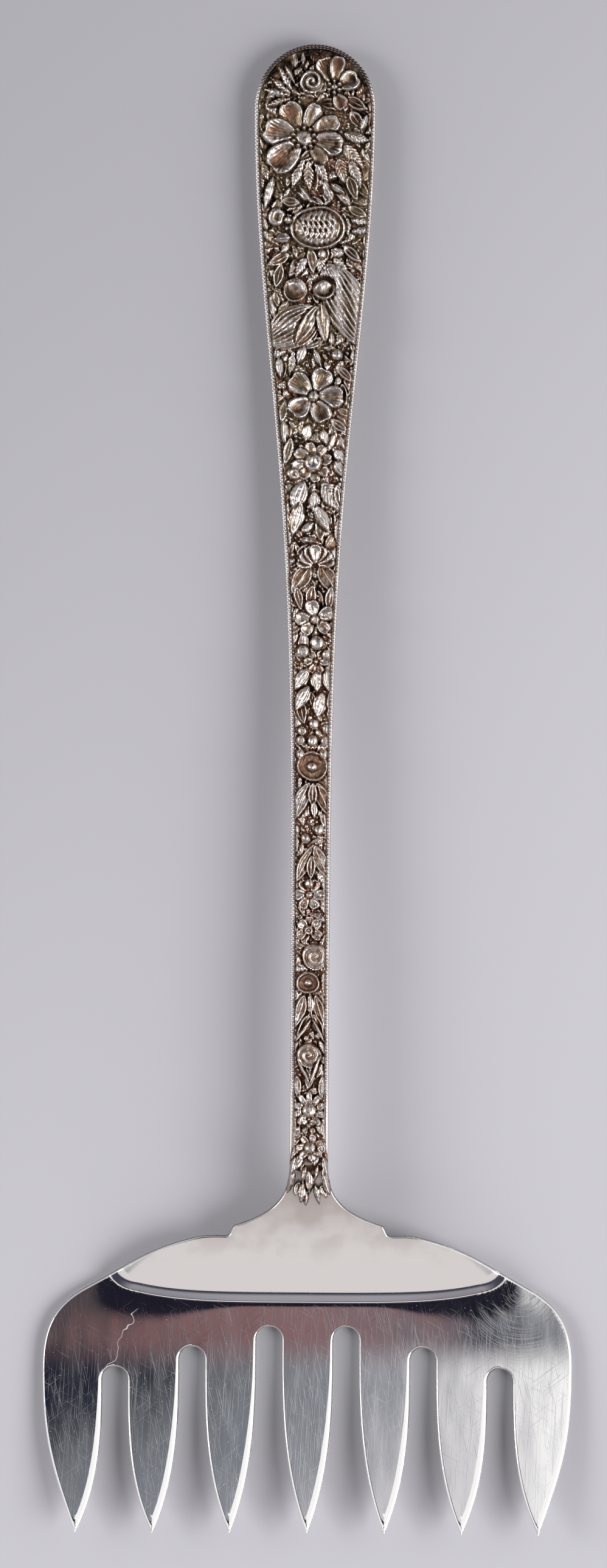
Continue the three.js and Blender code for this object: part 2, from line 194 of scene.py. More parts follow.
def head_top(x, y):
    behind = behind_step(x, y)
    up_step = eased(behind / STEP_RUN + 0.5)
    shoulder = shoulder_height(STEP_Y + behind)
    reach = FOOT_REACH + (FOOT_REACH_AT_ENDS - FOOT_REACH) * ramp(FOOT_WIDENS_AT, STEP_END, np.abs(x))
    foot = FOOT_SLOPE * reach * np.exp(-np.abs(behind + STEP_RUN / 2) / reach)
    return PLATE + TIP_RISE * to_tip(y) ** 2 + up_step * STEP_DROP + foot + shoulder


def head_thickness(x, y):
    to_neck = smooth((y - step_bow(x) - STEP_Y - STEP_RUN / 2) / SHOULDER_LENGTH)
    return PLATE + (HEAD_NECK_THICKNESS - PLATE) * to_neck - (PLATE - TIP_THICKNESS) * to_tip(y)


def head_under(x, y):
    return head_top(x, y) - head_thickness(x, y)


def heel_top(x, y):
    return head_under(x, y) - JOINT_GAP


def heel_under(x, y):
    at_neck = head_under(0.0, NECK_Y) - JOINT_GAP - NECK_RISE
    share = np.clip((NECK_Y - y) / HEEL_LENGTH, 0, 1)
    return heel_top(x, y) - at_neck - (HEEL_TIP_THICKNESS - at_neck) * share


def fork_top(x, y):
    return np.where(y > NECK_Y, bar_top(y), head_top(x, y))


# Outlines

def bezier(start, first, second, end, spacing):
    start, first, second, end = map(np.array, (start, first, second, end))
    count = max(2, math.ceil(np.linalg.norm(end - start) / spacing))
    t = np.linspace(0, 1, count + 1)[:-1, None]
    return (1 - t) ** 3 * start + 3 * t * (1 - t) ** 2 * first + 3 * t**2 * (1 - t) * second + t**3 * end


def arc(centre, radius, from_degrees, to_degrees, spacing):
    swept = math.radians(to_degrees - from_degrees)
    count = max(2, math.ceil(abs(swept) * radius / spacing))
    angle = math.radians(from_degrees) + swept * np.arange(count) / count
    return np.stack([centre[0] + radius * np.cos(angle), centre[1] + radius * np.sin(angle)], 1)


def mirrored(points):
    return (points * [-1, 1])[::-1]


# The head's right side from the neck to the outermost tip: places, and the headings in degrees in which
# the outline comes to each place and leaves it
def shoulder_stations():
    ledge_y = STEP_Y + LEDGE_HEIGHT
    return [
        (NECK_WIDTH / 2, NECK_Y - JOINT_GAP, -90, -90),
        (LEDGE_HALF - NOTCH_RUN, ledge_y + NOTCH_RISE, -17, -30),
        (LEDGE_HALF, ledge_y, -30, 0),
        (LEDGE_HALF + LEDGE_RUN, ledge_y - LEDGE_FALL, -13, -14),
        (HEAD_HALF - CORNER_RUN, STEP_Y + CORNER_HEIGHT, -29, -28),
        (HEAD_HALF, STEP_Y - WIDEST_DROP, -90, -90),
        (LAST_TIP, TIP_Y, -111, -111),
    ]


def headed_curve(one, other, spacing):
    pull = CURVE_PULL * math.hypot(other[0] - one[0], other[1] - one[1])
    leaves = math.radians(one[3])
    comes = math.radians(other[2])
    first = (one[0] + pull * math.cos(leaves), one[1] + pull * math.sin(leaves))
    second = (other[0] - pull * math.cos(comes), other[1] - pull * math.sin(comes))
    return bezier(one[:2], first, second, other[:2], spacing)


# The gap between two tines: down one side, round the root and back to the next tip
def tine_gap(right_tip, spacing):
    radius = (TINE_PITCH - TINE_WIDTH) / 2
    middle = right_tip - TINE_PITCH / 2
    root_y = ROOT_Y - radius - ROOT_STEP * math.floor(abs(middle) / TINE_PITCH)
    third = (root_y - TIP_Y) / 3
    right, left = middle + radius, middle - radius
    left_tip = right_tip - TINE_PITCH
    one_side = [(right_tip, TIP_Y), (right, TIP_Y + third), (right, root_y - third), (right, root_y)]
    other_side = [(left, root_y), (left, root_y - third), (left, TIP_Y + third), (left_tip, TIP_Y)]
    root = arc((middle, root_y), radius, 0, 180, spacing)
    return np.vstack([bezier(*one_side, spacing), root, bezier(*other_side, spacing)])


def head_outline(spacing):
    stations = shoulder_stations()
    right = np.vstack([headed_curve(a, b, spacing) for a, b in zip(stations, stations[1:])])
    tips = [LAST_TIP - i * TINE_PITCH for i in range(TINE_COUNT - 1)]
    gaps = np.vstack([tine_gap(tip, spacing) for tip in tips])
    last_tip = [[-LAST_TIP, TIP_Y]]
    return np.vstack([right, gaps, last_tip, mirrored(right)])


# The right edge of the handle from the middle of the butt to the neck
def handle_side(inset, end_y, spacing):
    round_end = BUTT_Y - BUTT_ROUND
    turn = np.linspace(math.pi / 2, 0, math.ceil(BUTT_ROUND * math.pi / 2 / spacing))
    upper = round_end + (BUTT_ROUND - inset) * np.sin(turn)
    lower = np.linspace(round_end, end_y, math.ceil((round_end - end_y) / spacing))[1:]
    y = np.concatenate([upper, lower])
    return np.stack([handle_half(y, inset), y], 1)


def heel_side(spacing):
    half = HEEL_WIDTH / 2
    pull = HEEL_LENGTH / 3
    flare = bezier(
        (NECK_WIDTH / 2, NECK_Y), (NECK_WIDTH / 2, NECK_Y - pull), (half, HEEL_Y + half + pull),
        (half, HEEL_Y + half), spacing,
    )
    return np.vstack([flare, arc((0, HEEL_Y + half), half, 0, -90, spacing)])


# Meshes

def placed(name, data):
    made = bpy.data.objects.new(name, data)
    bpy.context.scene.collection.objects.link(made)
    return made


def piece(name, points, faces, normals=None):
    mesh = bpy.data.meshes.new(name)
    mesh.from_pydata((np.asarray(points) * MM).tolist(), [], faces)
    mesh.shade_smooth()
    if normals is not None:
        mesh.normals_split_custom_set_from_vertices(normals.tolist())
    return placed(name, mesh)


# Stores one value per point: patina in the hollows together with painted shade
def give_patina_and_shade(made, shade):
    attribute = made.data.attributes.new("patina_and_shade", "FLOAT", "POINT")
    attribute.data.foreach_set("value", np.clip(shade, 0, 1).astype(np.float32))


BATCH = 1000
ON_LINE = 1e-4


# Distance from each point to a line of points, and the direction from the line to the point
def from_edge(points, line):
    start = line[:-1]
    span = line[1:] - start
    length = np.maximum((span**2).sum(1), 1e-12)
    distance = np.zeros(len(points))
    away = np.zeros((len(points), 2))
    for low in range(0, len(points), BATCH):
        batch = slice(low, low + BATCH)
        part = points[batch, None, :] - start
        share = np.clip((part * span).sum(2) / length, 0, 1)
        offset = part - share[..., None] * span
        squared = (offset**2).sum(2)
        near = squared.argmin(1)
        rows = np.arange(len(near))
        distance[batch] = np.sqrt(squared[rows, near])
        away[batch] = offset[rows, near]
        on_line = distance[batch] < ON_LINE
        inward = np.stack([-span[near, 1], span[near, 0]], 1) / np.sqrt(length[near])[:, None]
        away[batch][on_line] = inward[on_line]
    return distance, away / np.maximum(np.linalg.norm(away, axis=1), 1e-9)[:, None]


def is_inside(points, outline):
    x, y = points[:, :1], points[:, 1:]
    x0, y0 = outline.T
    x1, y1 = np.roll(outline, -1, 0).T
    crosses = (y0 > y) != (y1 > y)
    with np.errstate(divide="ignore", invalid="ignore"):
        at = x0 + (y - y0) * (x1 - x0) / (y1 - y0)
    return (crosses & (x < at)).sum(1) % 2 == 1


# Distances of the rings of points along an edge that is rounded as wide as the rings fit
EDGE_RINGS = (0.012, 0.045, 0.1, 0.18, 0.28, 0.4, 0.55, 0.72, 0.92)
RINGS_FIT = 0.4
SPARSE_FROM = 0.5
ROW_CLEARANCE = 0.12


# Points inside an outline that runs clockwise: rings that follow its edge, as far apart as the spread says,
# then an even grid
def inner_points(outline, edge, grid, rows, spread):
    ahead = np.roll(outline, -1, 0) - np.roll(outline, 1, 0)
    inward = np.stack([ahead[:, 1], -ahead[:, 0]], 1)
    inward /= np.linalg.norm(inward, axis=1)[:, None]
    found = []
    for offset in EDGE_RINGS:
        step = 1 if offset < SPARSE_FROM else 2
        reach = offset * spread(*outline.T)
        ring = (outline + reach[:, None] * inward)[::step]
        clear = is_inside(ring, outline) & (from_edge(ring, edge)[0] > 0.98 * reach[::step])
        found.append(ring[clear])
    low, high = outline.min(0), outline.max(0)
    x, y = np.meshgrid(np.arange(low[0], high[0], grid), np.arange(low[1], high[1], grid))
    field = np.stack([x.ravel(), y.ravel()], 1)
    field = field[is_inside(field, outline)]
    found.append(field[from_edge(field, edge)[0] > EDGE_RINGS[-1] * spread(*field.T) + 0.3 * grid])
    for row in rows:
        row = row[is_inside(row, outline)]
        found.append(row[from_edge(row, edge)[0] > ROW_CLEARANCE])
    return np.vstack(found)


def triangulated(outline, inner):
    points = [Vector(p) for p in np.vstack([outline, inner])]
    made = delaunay_2d_cdt(points, [], [list(range(len(outline)))], 1, 1e-6)
    return np.array([v[:] for v in made[0]]), np.array(made[2])


# A rounded edge at a distance from its rim: its drop, and the shares of the normal that stand and lean out
def rounded(distance, width, height):
    u = np.clip(1 - distance / np.maximum(width, 0.05), 0, 1)
    level = np.sqrt(1 - u**2)
    return height * (1 - level), level, height / width * u


# The normals of a surface, leaning outwards where its edge is rounded
def leaning(surface, x, y, level, lean, away, sign):
    tiny = 0.01
    slope_x = (surface(x + tiny, y) - surface(x - tiny, y)) / (2 * tiny)
    slope_y = (surface(x, y + tiny) - surface(x, y - tiny)) / (2 * tiny)
    flat = np.stack([-slope_x, -slope_y, np.ones_like(x)], 1) * sign
    outwards = np.concatenate([-away, np.zeros((len(x), 1))], 1)
    made = level[:, None] * flat + lean[:, None] * outwards
    return made / np.linalg.norm(made, axis=1)[:, None]


# A formed sheet over an outline, with edges rounded to a width and a share of the thickness. The outline
# runs clockwise; unless it is closed, the line from its last point to its first is left square.
def slab(name, outline, top, under, top_round, under_round, grid=0.6, rows=(), closed=False):
    edge = np.vstack([outline, outline[:1]]) if closed else outline
    width = top_round[0]
    varies = callable(width)
    spread = lambda x, y: width(x, y) / RINGS_FIT if varies else np.ones_like(x)
    flat, faces = triangulated(outline, inner_points(outline, edge, grid, rows, spread))
    turn = np.cross(flat[faces[:, 1]] - flat[faces[:, 0]], flat[faces[:, 2]] - flat[faces[:, 0]])
    faces = np.where((turn > 0)[:, None], faces, faces[:, ::-1])
    x, y = flat.T
    distance, away = from_edge(flat, edge)
    thickness = top(x, y) - under(x, y)
    top_width = width(x, y) if varies else width
    fall, top_level, top_lean = rounded(distance, top_width, top_round[1] * thickness)
    lift, under_level, under_lean = rounded(distance, under_round[0], under_round[1] * thickness)
    count = len(flat)
    points = np.vstack([
        np.stack([x, y, top(x, y) - fall], 1),
        np.stack([x, y, under(x, y) + lift], 1),
    ])
    normals = np.vstack([
        leaning(top, x, y, top_level, top_lean, away, 1),
        leaning(under, x, y, under_level, under_lean, away, -1),
    ])
    sides = {(a, b) for face in faces.tolist() for a, b in zip(face, face[1:] + face[:1])}
    walls = [(b, a, a + count, b + count) for a, b in sides if (b, a) not in sides]
    made = faces.tolist() + (faces[:, ::-1] + count).tolist() + sorted(walls)
    return piece(name, points, made, normals)


# Widths of the head's rounded edge: on the shoulder, and what they gain to the tines and then to the tips
SHOULDER_EDGE = 0.18
TINE_EDGE_GAIN = 0.18
TIP_EDGE_GAIN = 0.36
SHOULDER_EDGE_Y = -53
TINE_EDGE_Y = -58
TIP_EDGE_Y = -70
LEFT_SHARE = 0.25
STEP_TURN = 3


# The gain is smaller on the left of each tine than on its right
def head_edge(x, y):
    beside_tip = x - TINE_PITCH * np.round(x / TINE_PITCH)
    share = LEFT_SHARE + (1 - LEFT_SHARE) * ramp(-0.3, 0.3, beside_tip)
    gain = TINE_EDGE_GAIN * ramp(SHOULDER_EDGE_Y, TINE_EDGE_Y, y)
    gain += TIP_EDGE_GAIN * ramp(TINE_EDGE_Y, TIP_EDGE_Y, y)
    return SHOULDER_EDGE + share * gain


# Rows of points along the step, closest on its slope, and a fine field where it turns back at both ends
def step_rows():
    before, slope, behind = np.linspace(-1.6, -0.62, 10), np.linspace(-0.58, 0.58, 30), [0.7, 0.9]
    xs = np.arange(-HEAD_HALF, HEAD_HALF, 0.3)
    xs = xs[np.abs(xs) < STEP_END - STEP_TURN]
    offsets = np.concatenate([before, slope, behind]) * STEP_RUN
    rows = [np.stack([xs, STEP_Y + offset + step_bow(xs)], 1) for offset in offsets]
    turn_xs = np.arange(STEP_END - STEP_TURN, STEP_END + STEP_TURN, 0.2)
    x, y = np.meshgrid(turn_xs, np.arange(STEP_Y - 2, STEP_Y + 6, 0.14))
    turn = np.stack([x.ravel(), y.ravel()], 1)
    turn = turn[np.abs(behind_step(*turn.T)) < STEP_RUN]
    return rows + [turn, turn * (-1, 1)]


def tine_head():
    rounds = (head_edge, 0.34), (0.35, 0.2)
    return slab("tine_head_polished", head_outline(0.25), head_top, head_under, *rounds, rows=step_rows())


def handle_bar():
    side = np.vstack([handle_side(0, NECK_Y, 0.3), heel_side(0.3)[1:]])
    outline = np.vstack([side, mirrored(side)[:-1]])
    top = lambda x, y: np.where(y >= NECK_Y, bar_top(y), heel_top(x, y))
    under = lambda x, y: np.where(y >= NECK_Y, bar_under(y), heel_under(x, y))
    xs = np.arange(-NECK_WIDTH / 2, NECK_WIDTH / 2, 0.3)
    # A row on either side of the neck, where the bar drops to the heel
    rows = [np.stack([xs, np.full_like(xs, NECK_Y + offset)], 1) for offset in (0.02, -0.02)]
    return slab("handle_bar_polished", outline, top, under, (0.2, 0.08), (0.9, 0.35), 0.8, rows, True)


def heel_solder():
    side = heel_side(0.2)
    outline = np.vstack([side, mirrored(side)[:-1]])
    return slab("heel_solder_film", outline, head_under, heel_top, (0.05, 0.1), (0.05, 0.1), 0.6, (), True)


# A wire of beads along the edge of the handle's front, up one side, round the butt and down the other
def bead_border():
    side = handle_side(WIRE_INSET, NECK_Y + 2, 0.1)
    path = np.vstack([mirrored(side)[:-1], side])
    length = np.concatenate([[0], np.cumsum(np.linalg.norm(np.diff(path, axis=0), axis=1))])
    beads = round(length[-1] / BEAD_PITCH)
    steps, ring = 6, 8
    at = np.linspace(0, length[-1], beads * steps + 1)
    x, y = np.interp(at, length, path[:, 0]), np.interp(at, length, path[:, 1])
    ahead = np.stack([np.gradient(x), np.gradient(y)], 1)
    ahead /= np.linalg.norm(ahead, axis=1)[:, None]
    phase = 2 * ((np.arange(len(at)) / steps) % 1) - 1
    radius = WIRE_RADIUS * np.sqrt(1 - 0.8 * phase**2)
    # The wire thins out over its last millimetres at both ends
    radius *= ramp(0, 8, np.minimum(at, length[-1] - at)) * 0.9 + 0.1
    turn = 2 * math.pi * np.arange(ring) / ring
    aside = np.cos(turn)[None, :, None] * np.stack([-ahead[:, 1], ahead[:, 0]], 1)[:, None, :]
    points = np.zeros((len(at), ring, 3))
    points[..., :2] = np.stack([x, y], 1)[:, None, :] + radius[:, None, None] * aside
    points[..., 2] = (bar_top(y) + 0.6 * WIRE_RADIUS)[:, None] + radius[:, None] * np.sin(turn)
    faces = [
        (i * ring + j, (i + 1) * ring + j, (i + 1) * ring + (j + 1) % ring, i * ring + (j + 1) % ring)
        for i in range(len(at) - 1) for j in range(ring)
    ]
    faces += [tuple(range(ring)), tuple(len(at) * ring - 1 - j for j in range(ring))]
    made = piece("bead_border_wire", points.reshape(-1, 3), faces)
    # Painted shade darkens the beads round the butt
    give_patina_and_shade(made, np.repeat(ramp(BUTT_Y - 6, BUTT_Y - 3, y), ring))
    return made


# The chased panel. Its relief is drawn on a raster of cells, in millimetres from the butt and to the right
# of the middle, and then laid on the front of the handle.
CELL = 0.05
PANEL_HALF = BUTT_WIDTH / 2
PANEL_SPAN = HANDLE_LENGTH + PANEL_FRINGE
CHASE_DEPTH = 0.2
CHASE_WIDTH = 0.11
DEEPEST = 0.2
LOWEST_TOP = 0.02
THINNEST = 0.02
GROUND_BEADS = 6000
GROUND_LEAVES = 900
chance = np.random.default_rng(7)
right_of, below = np.meshgrid(
    np.arange(-PANEL_HALF, PANEL_HALF + CELL / 2, CELL), np.arange(0, PANEL_SPAN + CELL, CELL)
)


def blurred(field, width):
    reach = int(3 * width / CELL) + 1
    weights = np.exp(-0.5 * (np.arange(-reach, reach + 1) * CELL / width) ** 2)
    weights /= weights.sum()
    for axis in (0, 1):
        size = field.shape[axis]
        padded = np.pad(field, [(reach, reach) if a == axis else (0, 0) for a in (0, 1)], mode="edge")
        field = sum(w * np.take(padded, range(i, i + size), axis) for i, w in enumerate(weights))
    return field


# A soft random field with waves of a given width and size
def wander(width, size):
    noise = blurred(chance.standard_normal(below.shape), width)
    return size * noise / noise.std()


# Forms. Each gives how far outside it a place lies, and its height there; a place is so far ahead of the
# form's foot and so far aside of its middle line.

def domed(share):
    return np.sqrt(np.clip(1 - share**2, 0, 1))


# How far a place lies outside a blade, and the blade's half-width there
def blade(ahead, aside, length, half, fullness, blunt):
    width = half * np.sin(np.pi * np.clip(ahead / length, 0, 1) ** fullness) ** blunt
    beyond = np.maximum(-ahead, ahead - length)
    outside = np.where(beyond > 0, np.hypot(aside, beyond), np.abs(aside) - width)
    return outside, np.maximum(width, THINNEST)


# A spoon-shaped petal with a thin rim, a dent in its tip and veins that spread from its foot
def petal(ahead, aside, length, half, height, hollow):
    share = np.clip(ahead / length, 0, 1)
    dented = ahead + 0.3 * half * bell(aside, 0.3 * half) * ramp(0.6, 1, share)
    outside, _ = blade(dented, aside, length, half, 1.6, 0.55)
    depth = np.clip(-outside / half, 0, 1)
    spoon = 0.35 + 0.65 * ramp(0, 0.16, depth) - hollow * ramp(0.12, 0.9, depth)
    veins = 0.05 * np.cos(9 * np.pi * aside / (half * (0.25 + share))) * ramp(0.1, 0.3, depth)
    return outside, height * (spoon + veins) * (0.5 + 0.5 * share)


# A domed leaf with ribs from its foot to its tip, more of them the wider it is
def plump(ahead, aside, length, half, height):
    outside, width = blade(ahead, aside, length, half, 0.85, 0.8)
    ribs = 0.13 * np.cos(2 * np.pi * round(half / 0.42) * aside / width)
    return outside, height * (0.25 + 0.7 * domed(aside / width) + ribs)


# A leaf of two raised margins and a rib
def outlined(ahead, aside, length, half, height):
    outside, _ = blade(ahead, aside, length, half, 0.8, 0.85)
    margin = bell(outside + 0.13, 0.11)
    rib = 0.5 * bell(aside, 0.09)
    return outside, height * (0.2 + 0.8 * np.maximum(margin, rib))


# A domed leaf cut with slanting strokes
def hatched(ahead, aside, length, half, height):
    outside, width = blade(ahead, aside, length, half, 0.8, 0.8)
    cuts = 0.16 * np.cos(2 * np.pi * (ahead - 1.2 * np.abs(aside)) / 0.42)
    return outside, height * (0.3 + 0.55 * domed(aside / width) + cuts)


# A broad leaf of flutes that spread from its foot
def fluted(ahead, aside, length, half, height, flutes):
    outside, width = blade(ahead, aside, length, half, 1.0, 0.6)
    flute = np.cos(np.pi * flutes * aside / np.maximum(width, 0.05) + 0.5 * ahead * np.sign(aside))
    flute *= 0.65 + 0.35 * np.cos(3.1 * aside + 1.3 * ahead)
    depth = np.clip(-outside / half, 0, 1)
    return outside, height * (0.55 + 0.25 * ramp(0, 0.4, depth) + 0.25 * flute * ramp(0, 0.15, depth))


# A ball, with a dent for its eye
def ball(ahead, aside, radius, height, eye=0.0):
    r = np.hypot(ahead, aside) / radius
    return (r - 1) * radius, height * (0.2 + 0.8 * domed(r) - eye * bell(r, 0.4))


# A thin ring round a small dome
def ring_flower(ahead, aside, radius, height, heart):
    r = np.hypot(ahead, aside)
    ring = bell(r - radius + 0.17, 0.13)
    return r - radius, height * (0.05 + 0.95 * ring + 0.75 * domed(r / heart))


# A curled bud: a ring whose inner edge winds inwards
def curled_bud(ahead, aside, radius, height):
    r = np.hypot(ahead, aside)
    wind = np.arctan2(aside, ahead) / (2 * np.pi)
    coil = np.cos(2 * np.pi * (r / (0.52 * radius) - wind)) * 0.5 + 0.5
    return r - radius, height * (0.45 + 0.5 * coil)


# An oval of seeds inside a low rim
def seed_head(ahead, aside, half, rise, height):
    r = np.hypot(aside / half, ahead / rise)
    rim = bell(r - 0.92, 0.07)
    bent = ahead + 0.12 * aside**2
    row = np.floor(bent / 0.75)
    slant = aside + 0.4 * np.sin(2.1 * row) * bent
    seeds = np.cos(2 * np.pi * (slant / 0.55 + 0.61 * row**2)) * np.cos(np.pi * (bent / 0.75 - row - 0.5))
    return (r - 1) * rise, height * (0.15 + 0.5 * rim + (0.9 + 0.24 * seeds) * domed(r / 0.83))


# A cup seen from its mouth, with its rim raised on the side it faces
def cup(ahead, aside, half, height):
    r = np.hypot(aside, ahead) / half
    faced = ramp(-0.3, 0.7, ahead / half)
    rim = bell(r - 0.87, 0.12) * (0.25 + 0.75 * faced)
    back = 0.7 * ramp(0.5, -0.9, ahead / half) * ramp(1.0, 0.5, r)
    return (r - 1) * half, height * (0.1 + np.maximum(0.9 * rim, back))


def even(count, turn):
    return [turn + 360 * i / count for i in range(count)]


# Tables of motifs. Each row starts with millimetres from the butt and millimetres to the right; a heading
# of 0 points to the tines, and 90 to the right.

# Petals of the flowers: length, half-width, heading, height, hollow
PETALS = [
    (4.5, 1.9, 3.3, 1.1, -102, 0.75, 0.6), (4.4, 1.9, 3.4, 1.15, -158, 0.75, 0.7),
    (4.4, 1.9, 3.4, 0.95, 170, 0.8, 0.3), (4.6, 2.0, 2.9, 1.05, 118, 0.7, 0.75),
    (4.8, 1.9, 2.2, 0.8, 30, 0.5, 0.5), (9.7, -1.1, 4.4, 1.35, -150, 0.8, 0.5),
    (9.7, -1.1, 3.9, 0.95, 160, 0.7, 0.3), (9.6, -1.1, 4.2, 1.1, 118, 0.65, 0.3),
    (9.8, -1.1, 4.2, 1.35, 80, 0.7, 0.6), (9.7, -1.1, 4.5, 1.45, -104, 0.75, 0.6),
    (9.8, -1.1, 4.8, 1.7, -48, 0.85, 0.75), (10.0, -1.1, 3.4, 0.8, 45, 0.5, 0.3),
    (36.1, 0.0, 3.1, 1.25, -50, 0.75, 0.7), (36.1, 0.0, 3.2, 1.25, 155, 0.75, 0.65),
    (36.1, 0.0, 3.2, 1.25, -131, 0.75, 0.7), (36.1, 0.0, 3.2, 1.2, 88, 0.75, 0.65),
    (36.1, 0.0, 3.0, 1.15, 24, 0.75, 0.75), (59.0, 0.3, 2.2, 0.8, 195, 0.6, 0.5),
    (59.0, 0.3, 2.2, 0.8, 120, 0.6, 0.5), (59.0, 0.3, 2.2, 0.75, -95, 0.6, 0.4),
    (59.0, 0.3, 2.0, 0.7, 50, 0.55, 0.5), (59.0, 0.3, 2.0, 0.7, -40, 0.5, 0.5),
]
# Small flowers: petal length, petal half-width, headings, height, hollow, heart radius
SMALL_FLOWERS = [
    (42.9, -0.1, 2.2, 0.62, even(8, 10), 0.5, 0.5, 0.0),
    (53.4, 0.3, 2.1, 0.62, (105, 255, 130, 230, 155, 205, 180), 0.62, 0.35, 0.0),
    (63.3, 0.4, 1.3, 0.4, even(6, 30), 0.4, 0.5, 0.25),
    (87.0, -0.1, 1.7, 0.55, even(6, 30), 0.55, 0.6, 0.35),
    (90.6, -0.1, 1.5, 0.55, (180, 130, -130, 60, -60), 0.5, 0.6, 0.0),
    (108.9, 0.0, 1.9, 0.36, even(10, 0), 0.5, 0.15, 0.72),
    (110.5, 0.0, 0.9, 0.32, even(4, 45), 0.45, 0.0, 0.25),
    (112.6, 0.1, 1.5, 0.4, even(7, 12), 0.45, 0.3, 0.6),
]
# Leaves: length, half-width, heading
PLUMP_LEAVES = [
    (2.5, -2.1, 1.9, 0.36, 186), (2.2, -1.3, 1.5, 0.26, 182), (2.2, -3.1, 2.1, 0.3, 28),
    (8.9, 4.6, 1.8, 0.35, 160), (14.2, 0.9, 2.2, 0.5, 25), (14.4, 1.6, 1.7, 0.35, 55),
    (13.6, -4.2, 3.6, 0.42, -14), (15.2, -1.9, 2.4, 0.3, 60), (14.6, -1.6, 2.2, 0.28, 35),
    (19.9, -2.4, 1.8, 0.55, -85), (20.5, -2.6, 1.4, 0.4, -40), (26.2, -2.6, 2.6, 0.5, -25),
    (28.0, 0.9, 2.2, 0.45, 6), (28.6, 0.3, 1.6, 0.3, -20), (30.9, -0.9, 2.0, 0.5, -20),
    (31.2, 0.0, 2.2, 0.32, 22), (29.6, 1.7, 1.6, 0.35, 5), (31.2, 0.9, 1.4, 0.28, 90),
    (32.2, -3.6, 2.2, 0.42, 6), (39.0, -0.4, 1.9, 0.5, -14), (39.4, 1.0, 1.8, 0.45, 10),
    (38.6, -3.0, 2.4, 0.42, 5), (41.6, 2.2, 1.8, 0.5, 35), (42.8, 2.3, 1.9, 0.5, 30),
    (44.9, -0.9, 3.2, 0.87, -20), (47.0, -1.2, 3.5, 0.77, -14), (45.9, 0.1, 2.1, 0.67, 2),
    (47.3, 0.4, 3.0, 0.64, 24), (63.9, 0.6, 2.5, 0.77, -2), (63.9, -0.3, 2.7, 0.67, -32),
    (64.1, 1.4, 2.5, 0.54, 14), (65.8, -0.3, 2.8, 0.67, -28), (66.4, 1.1, 2.6, 0.77, -10),
    (66.2, 2.0, 2.2, 0.38, -4), (77.5, 0.3, 1.8, 0.33, 0), (97.0, 0.0, 2.4, 0.31, 4),
    (113.2, 0.7, 1.4, 0.4, -6), (113.2, -0.5, 2.2, 0.46, -28), (114.6, -0.2, 2.0, 0.28, -14),
    (114.4, 0.9, 1.8, 0.24, -10), (114.8, 1.3, 2.2, 0.26, 14), (115.3, 0.2, 2.2, 0.46, -4),
    (117.0, -0.2, 1.7, 0.3, -8), (117.2, 0.8, 1.3, 0.24, 12), (113.6, -1.3, 2.6, 0.36, -16),
    (113.6, 1.4, 2.6, 0.36, 14), (115.2, -1.4, 2.3, 0.34, -20), (115.4, 1.5, 2.3, 0.34, 18),
    (116.2, -0.5, 2.2, 0.36, -10), (116.4, 0.7, 2.0, 0.34, 10), (115.0, 0.0, 2.4, 0.4, 2),
]
OUTLINED_LEAVES = [
    (5.6, 3.2, 2.4, 0.6, 60), (6.9, 3.6, 2.2, 0.6, 35), (16.0, -3.3, 1.9, 0.55, 80),
    (13.6, 3.4, 2.6, 0.6, 20), (16.6, 3.4, 2.3, 0.5, 60), (20.7, 3.0, 2.5, 0.55, 48),
    (21.6, -2.6, 2.5, 0.6, -62), (22.6, -3.4, 2.6, 0.55, -12), (33.0, 2.3, 2.5, 0.5, 48),
    (34.8, 2.9, 2.4, 0.45, 8), (36.5, -2.9, 2.4, 0.45, -8), (38.4, 1.7, 2.5, 0.5, 52),
    (40.4, -2.2, 2.9, 0.5, -12), (45.2, 2.4, 3.0, 0.54, 12), (53.4, -0.2, 3.5, 0.96, -34),
    (53.4, 0.8, 3.5, 0.96, 30), (55.6, -1.6, 2.6, 0.51, 8), (55.6, 1.9, 2.6, 0.51, -8),
    (67.3, -1.2, 2.4, 0.58, 12), (75.6, -0.2, 4.2, 0.77, -22), (75.6, 0.6, 4.2, 0.77, 22),
    (75.6, 0.2, 2.8, 0.51, 0), (81.9, 0.3, 4.3, 0.7, -24), (82.0, 0.3, 4.3, 0.7, 26),
    (83.0, 0.1, 2.6, 0.51, 0), (97.2, -0.5, 3.5, 0.58, -16), (97.2, 0.5, 3.7, 0.58, 16),
    (99.0, 0.1, 3.2, 0.51, -26), (99.0, 0.2, 3.2, 0.51, 24), (105.4, -1.3, 2.6, 0.44, 4),
    (105.4, 1.4, 2.6, 0.44, -4), (116.2, -0.9, 1.5, 0.4, -20), (116.4, 1.3, 1.6, 0.42, 20),
]
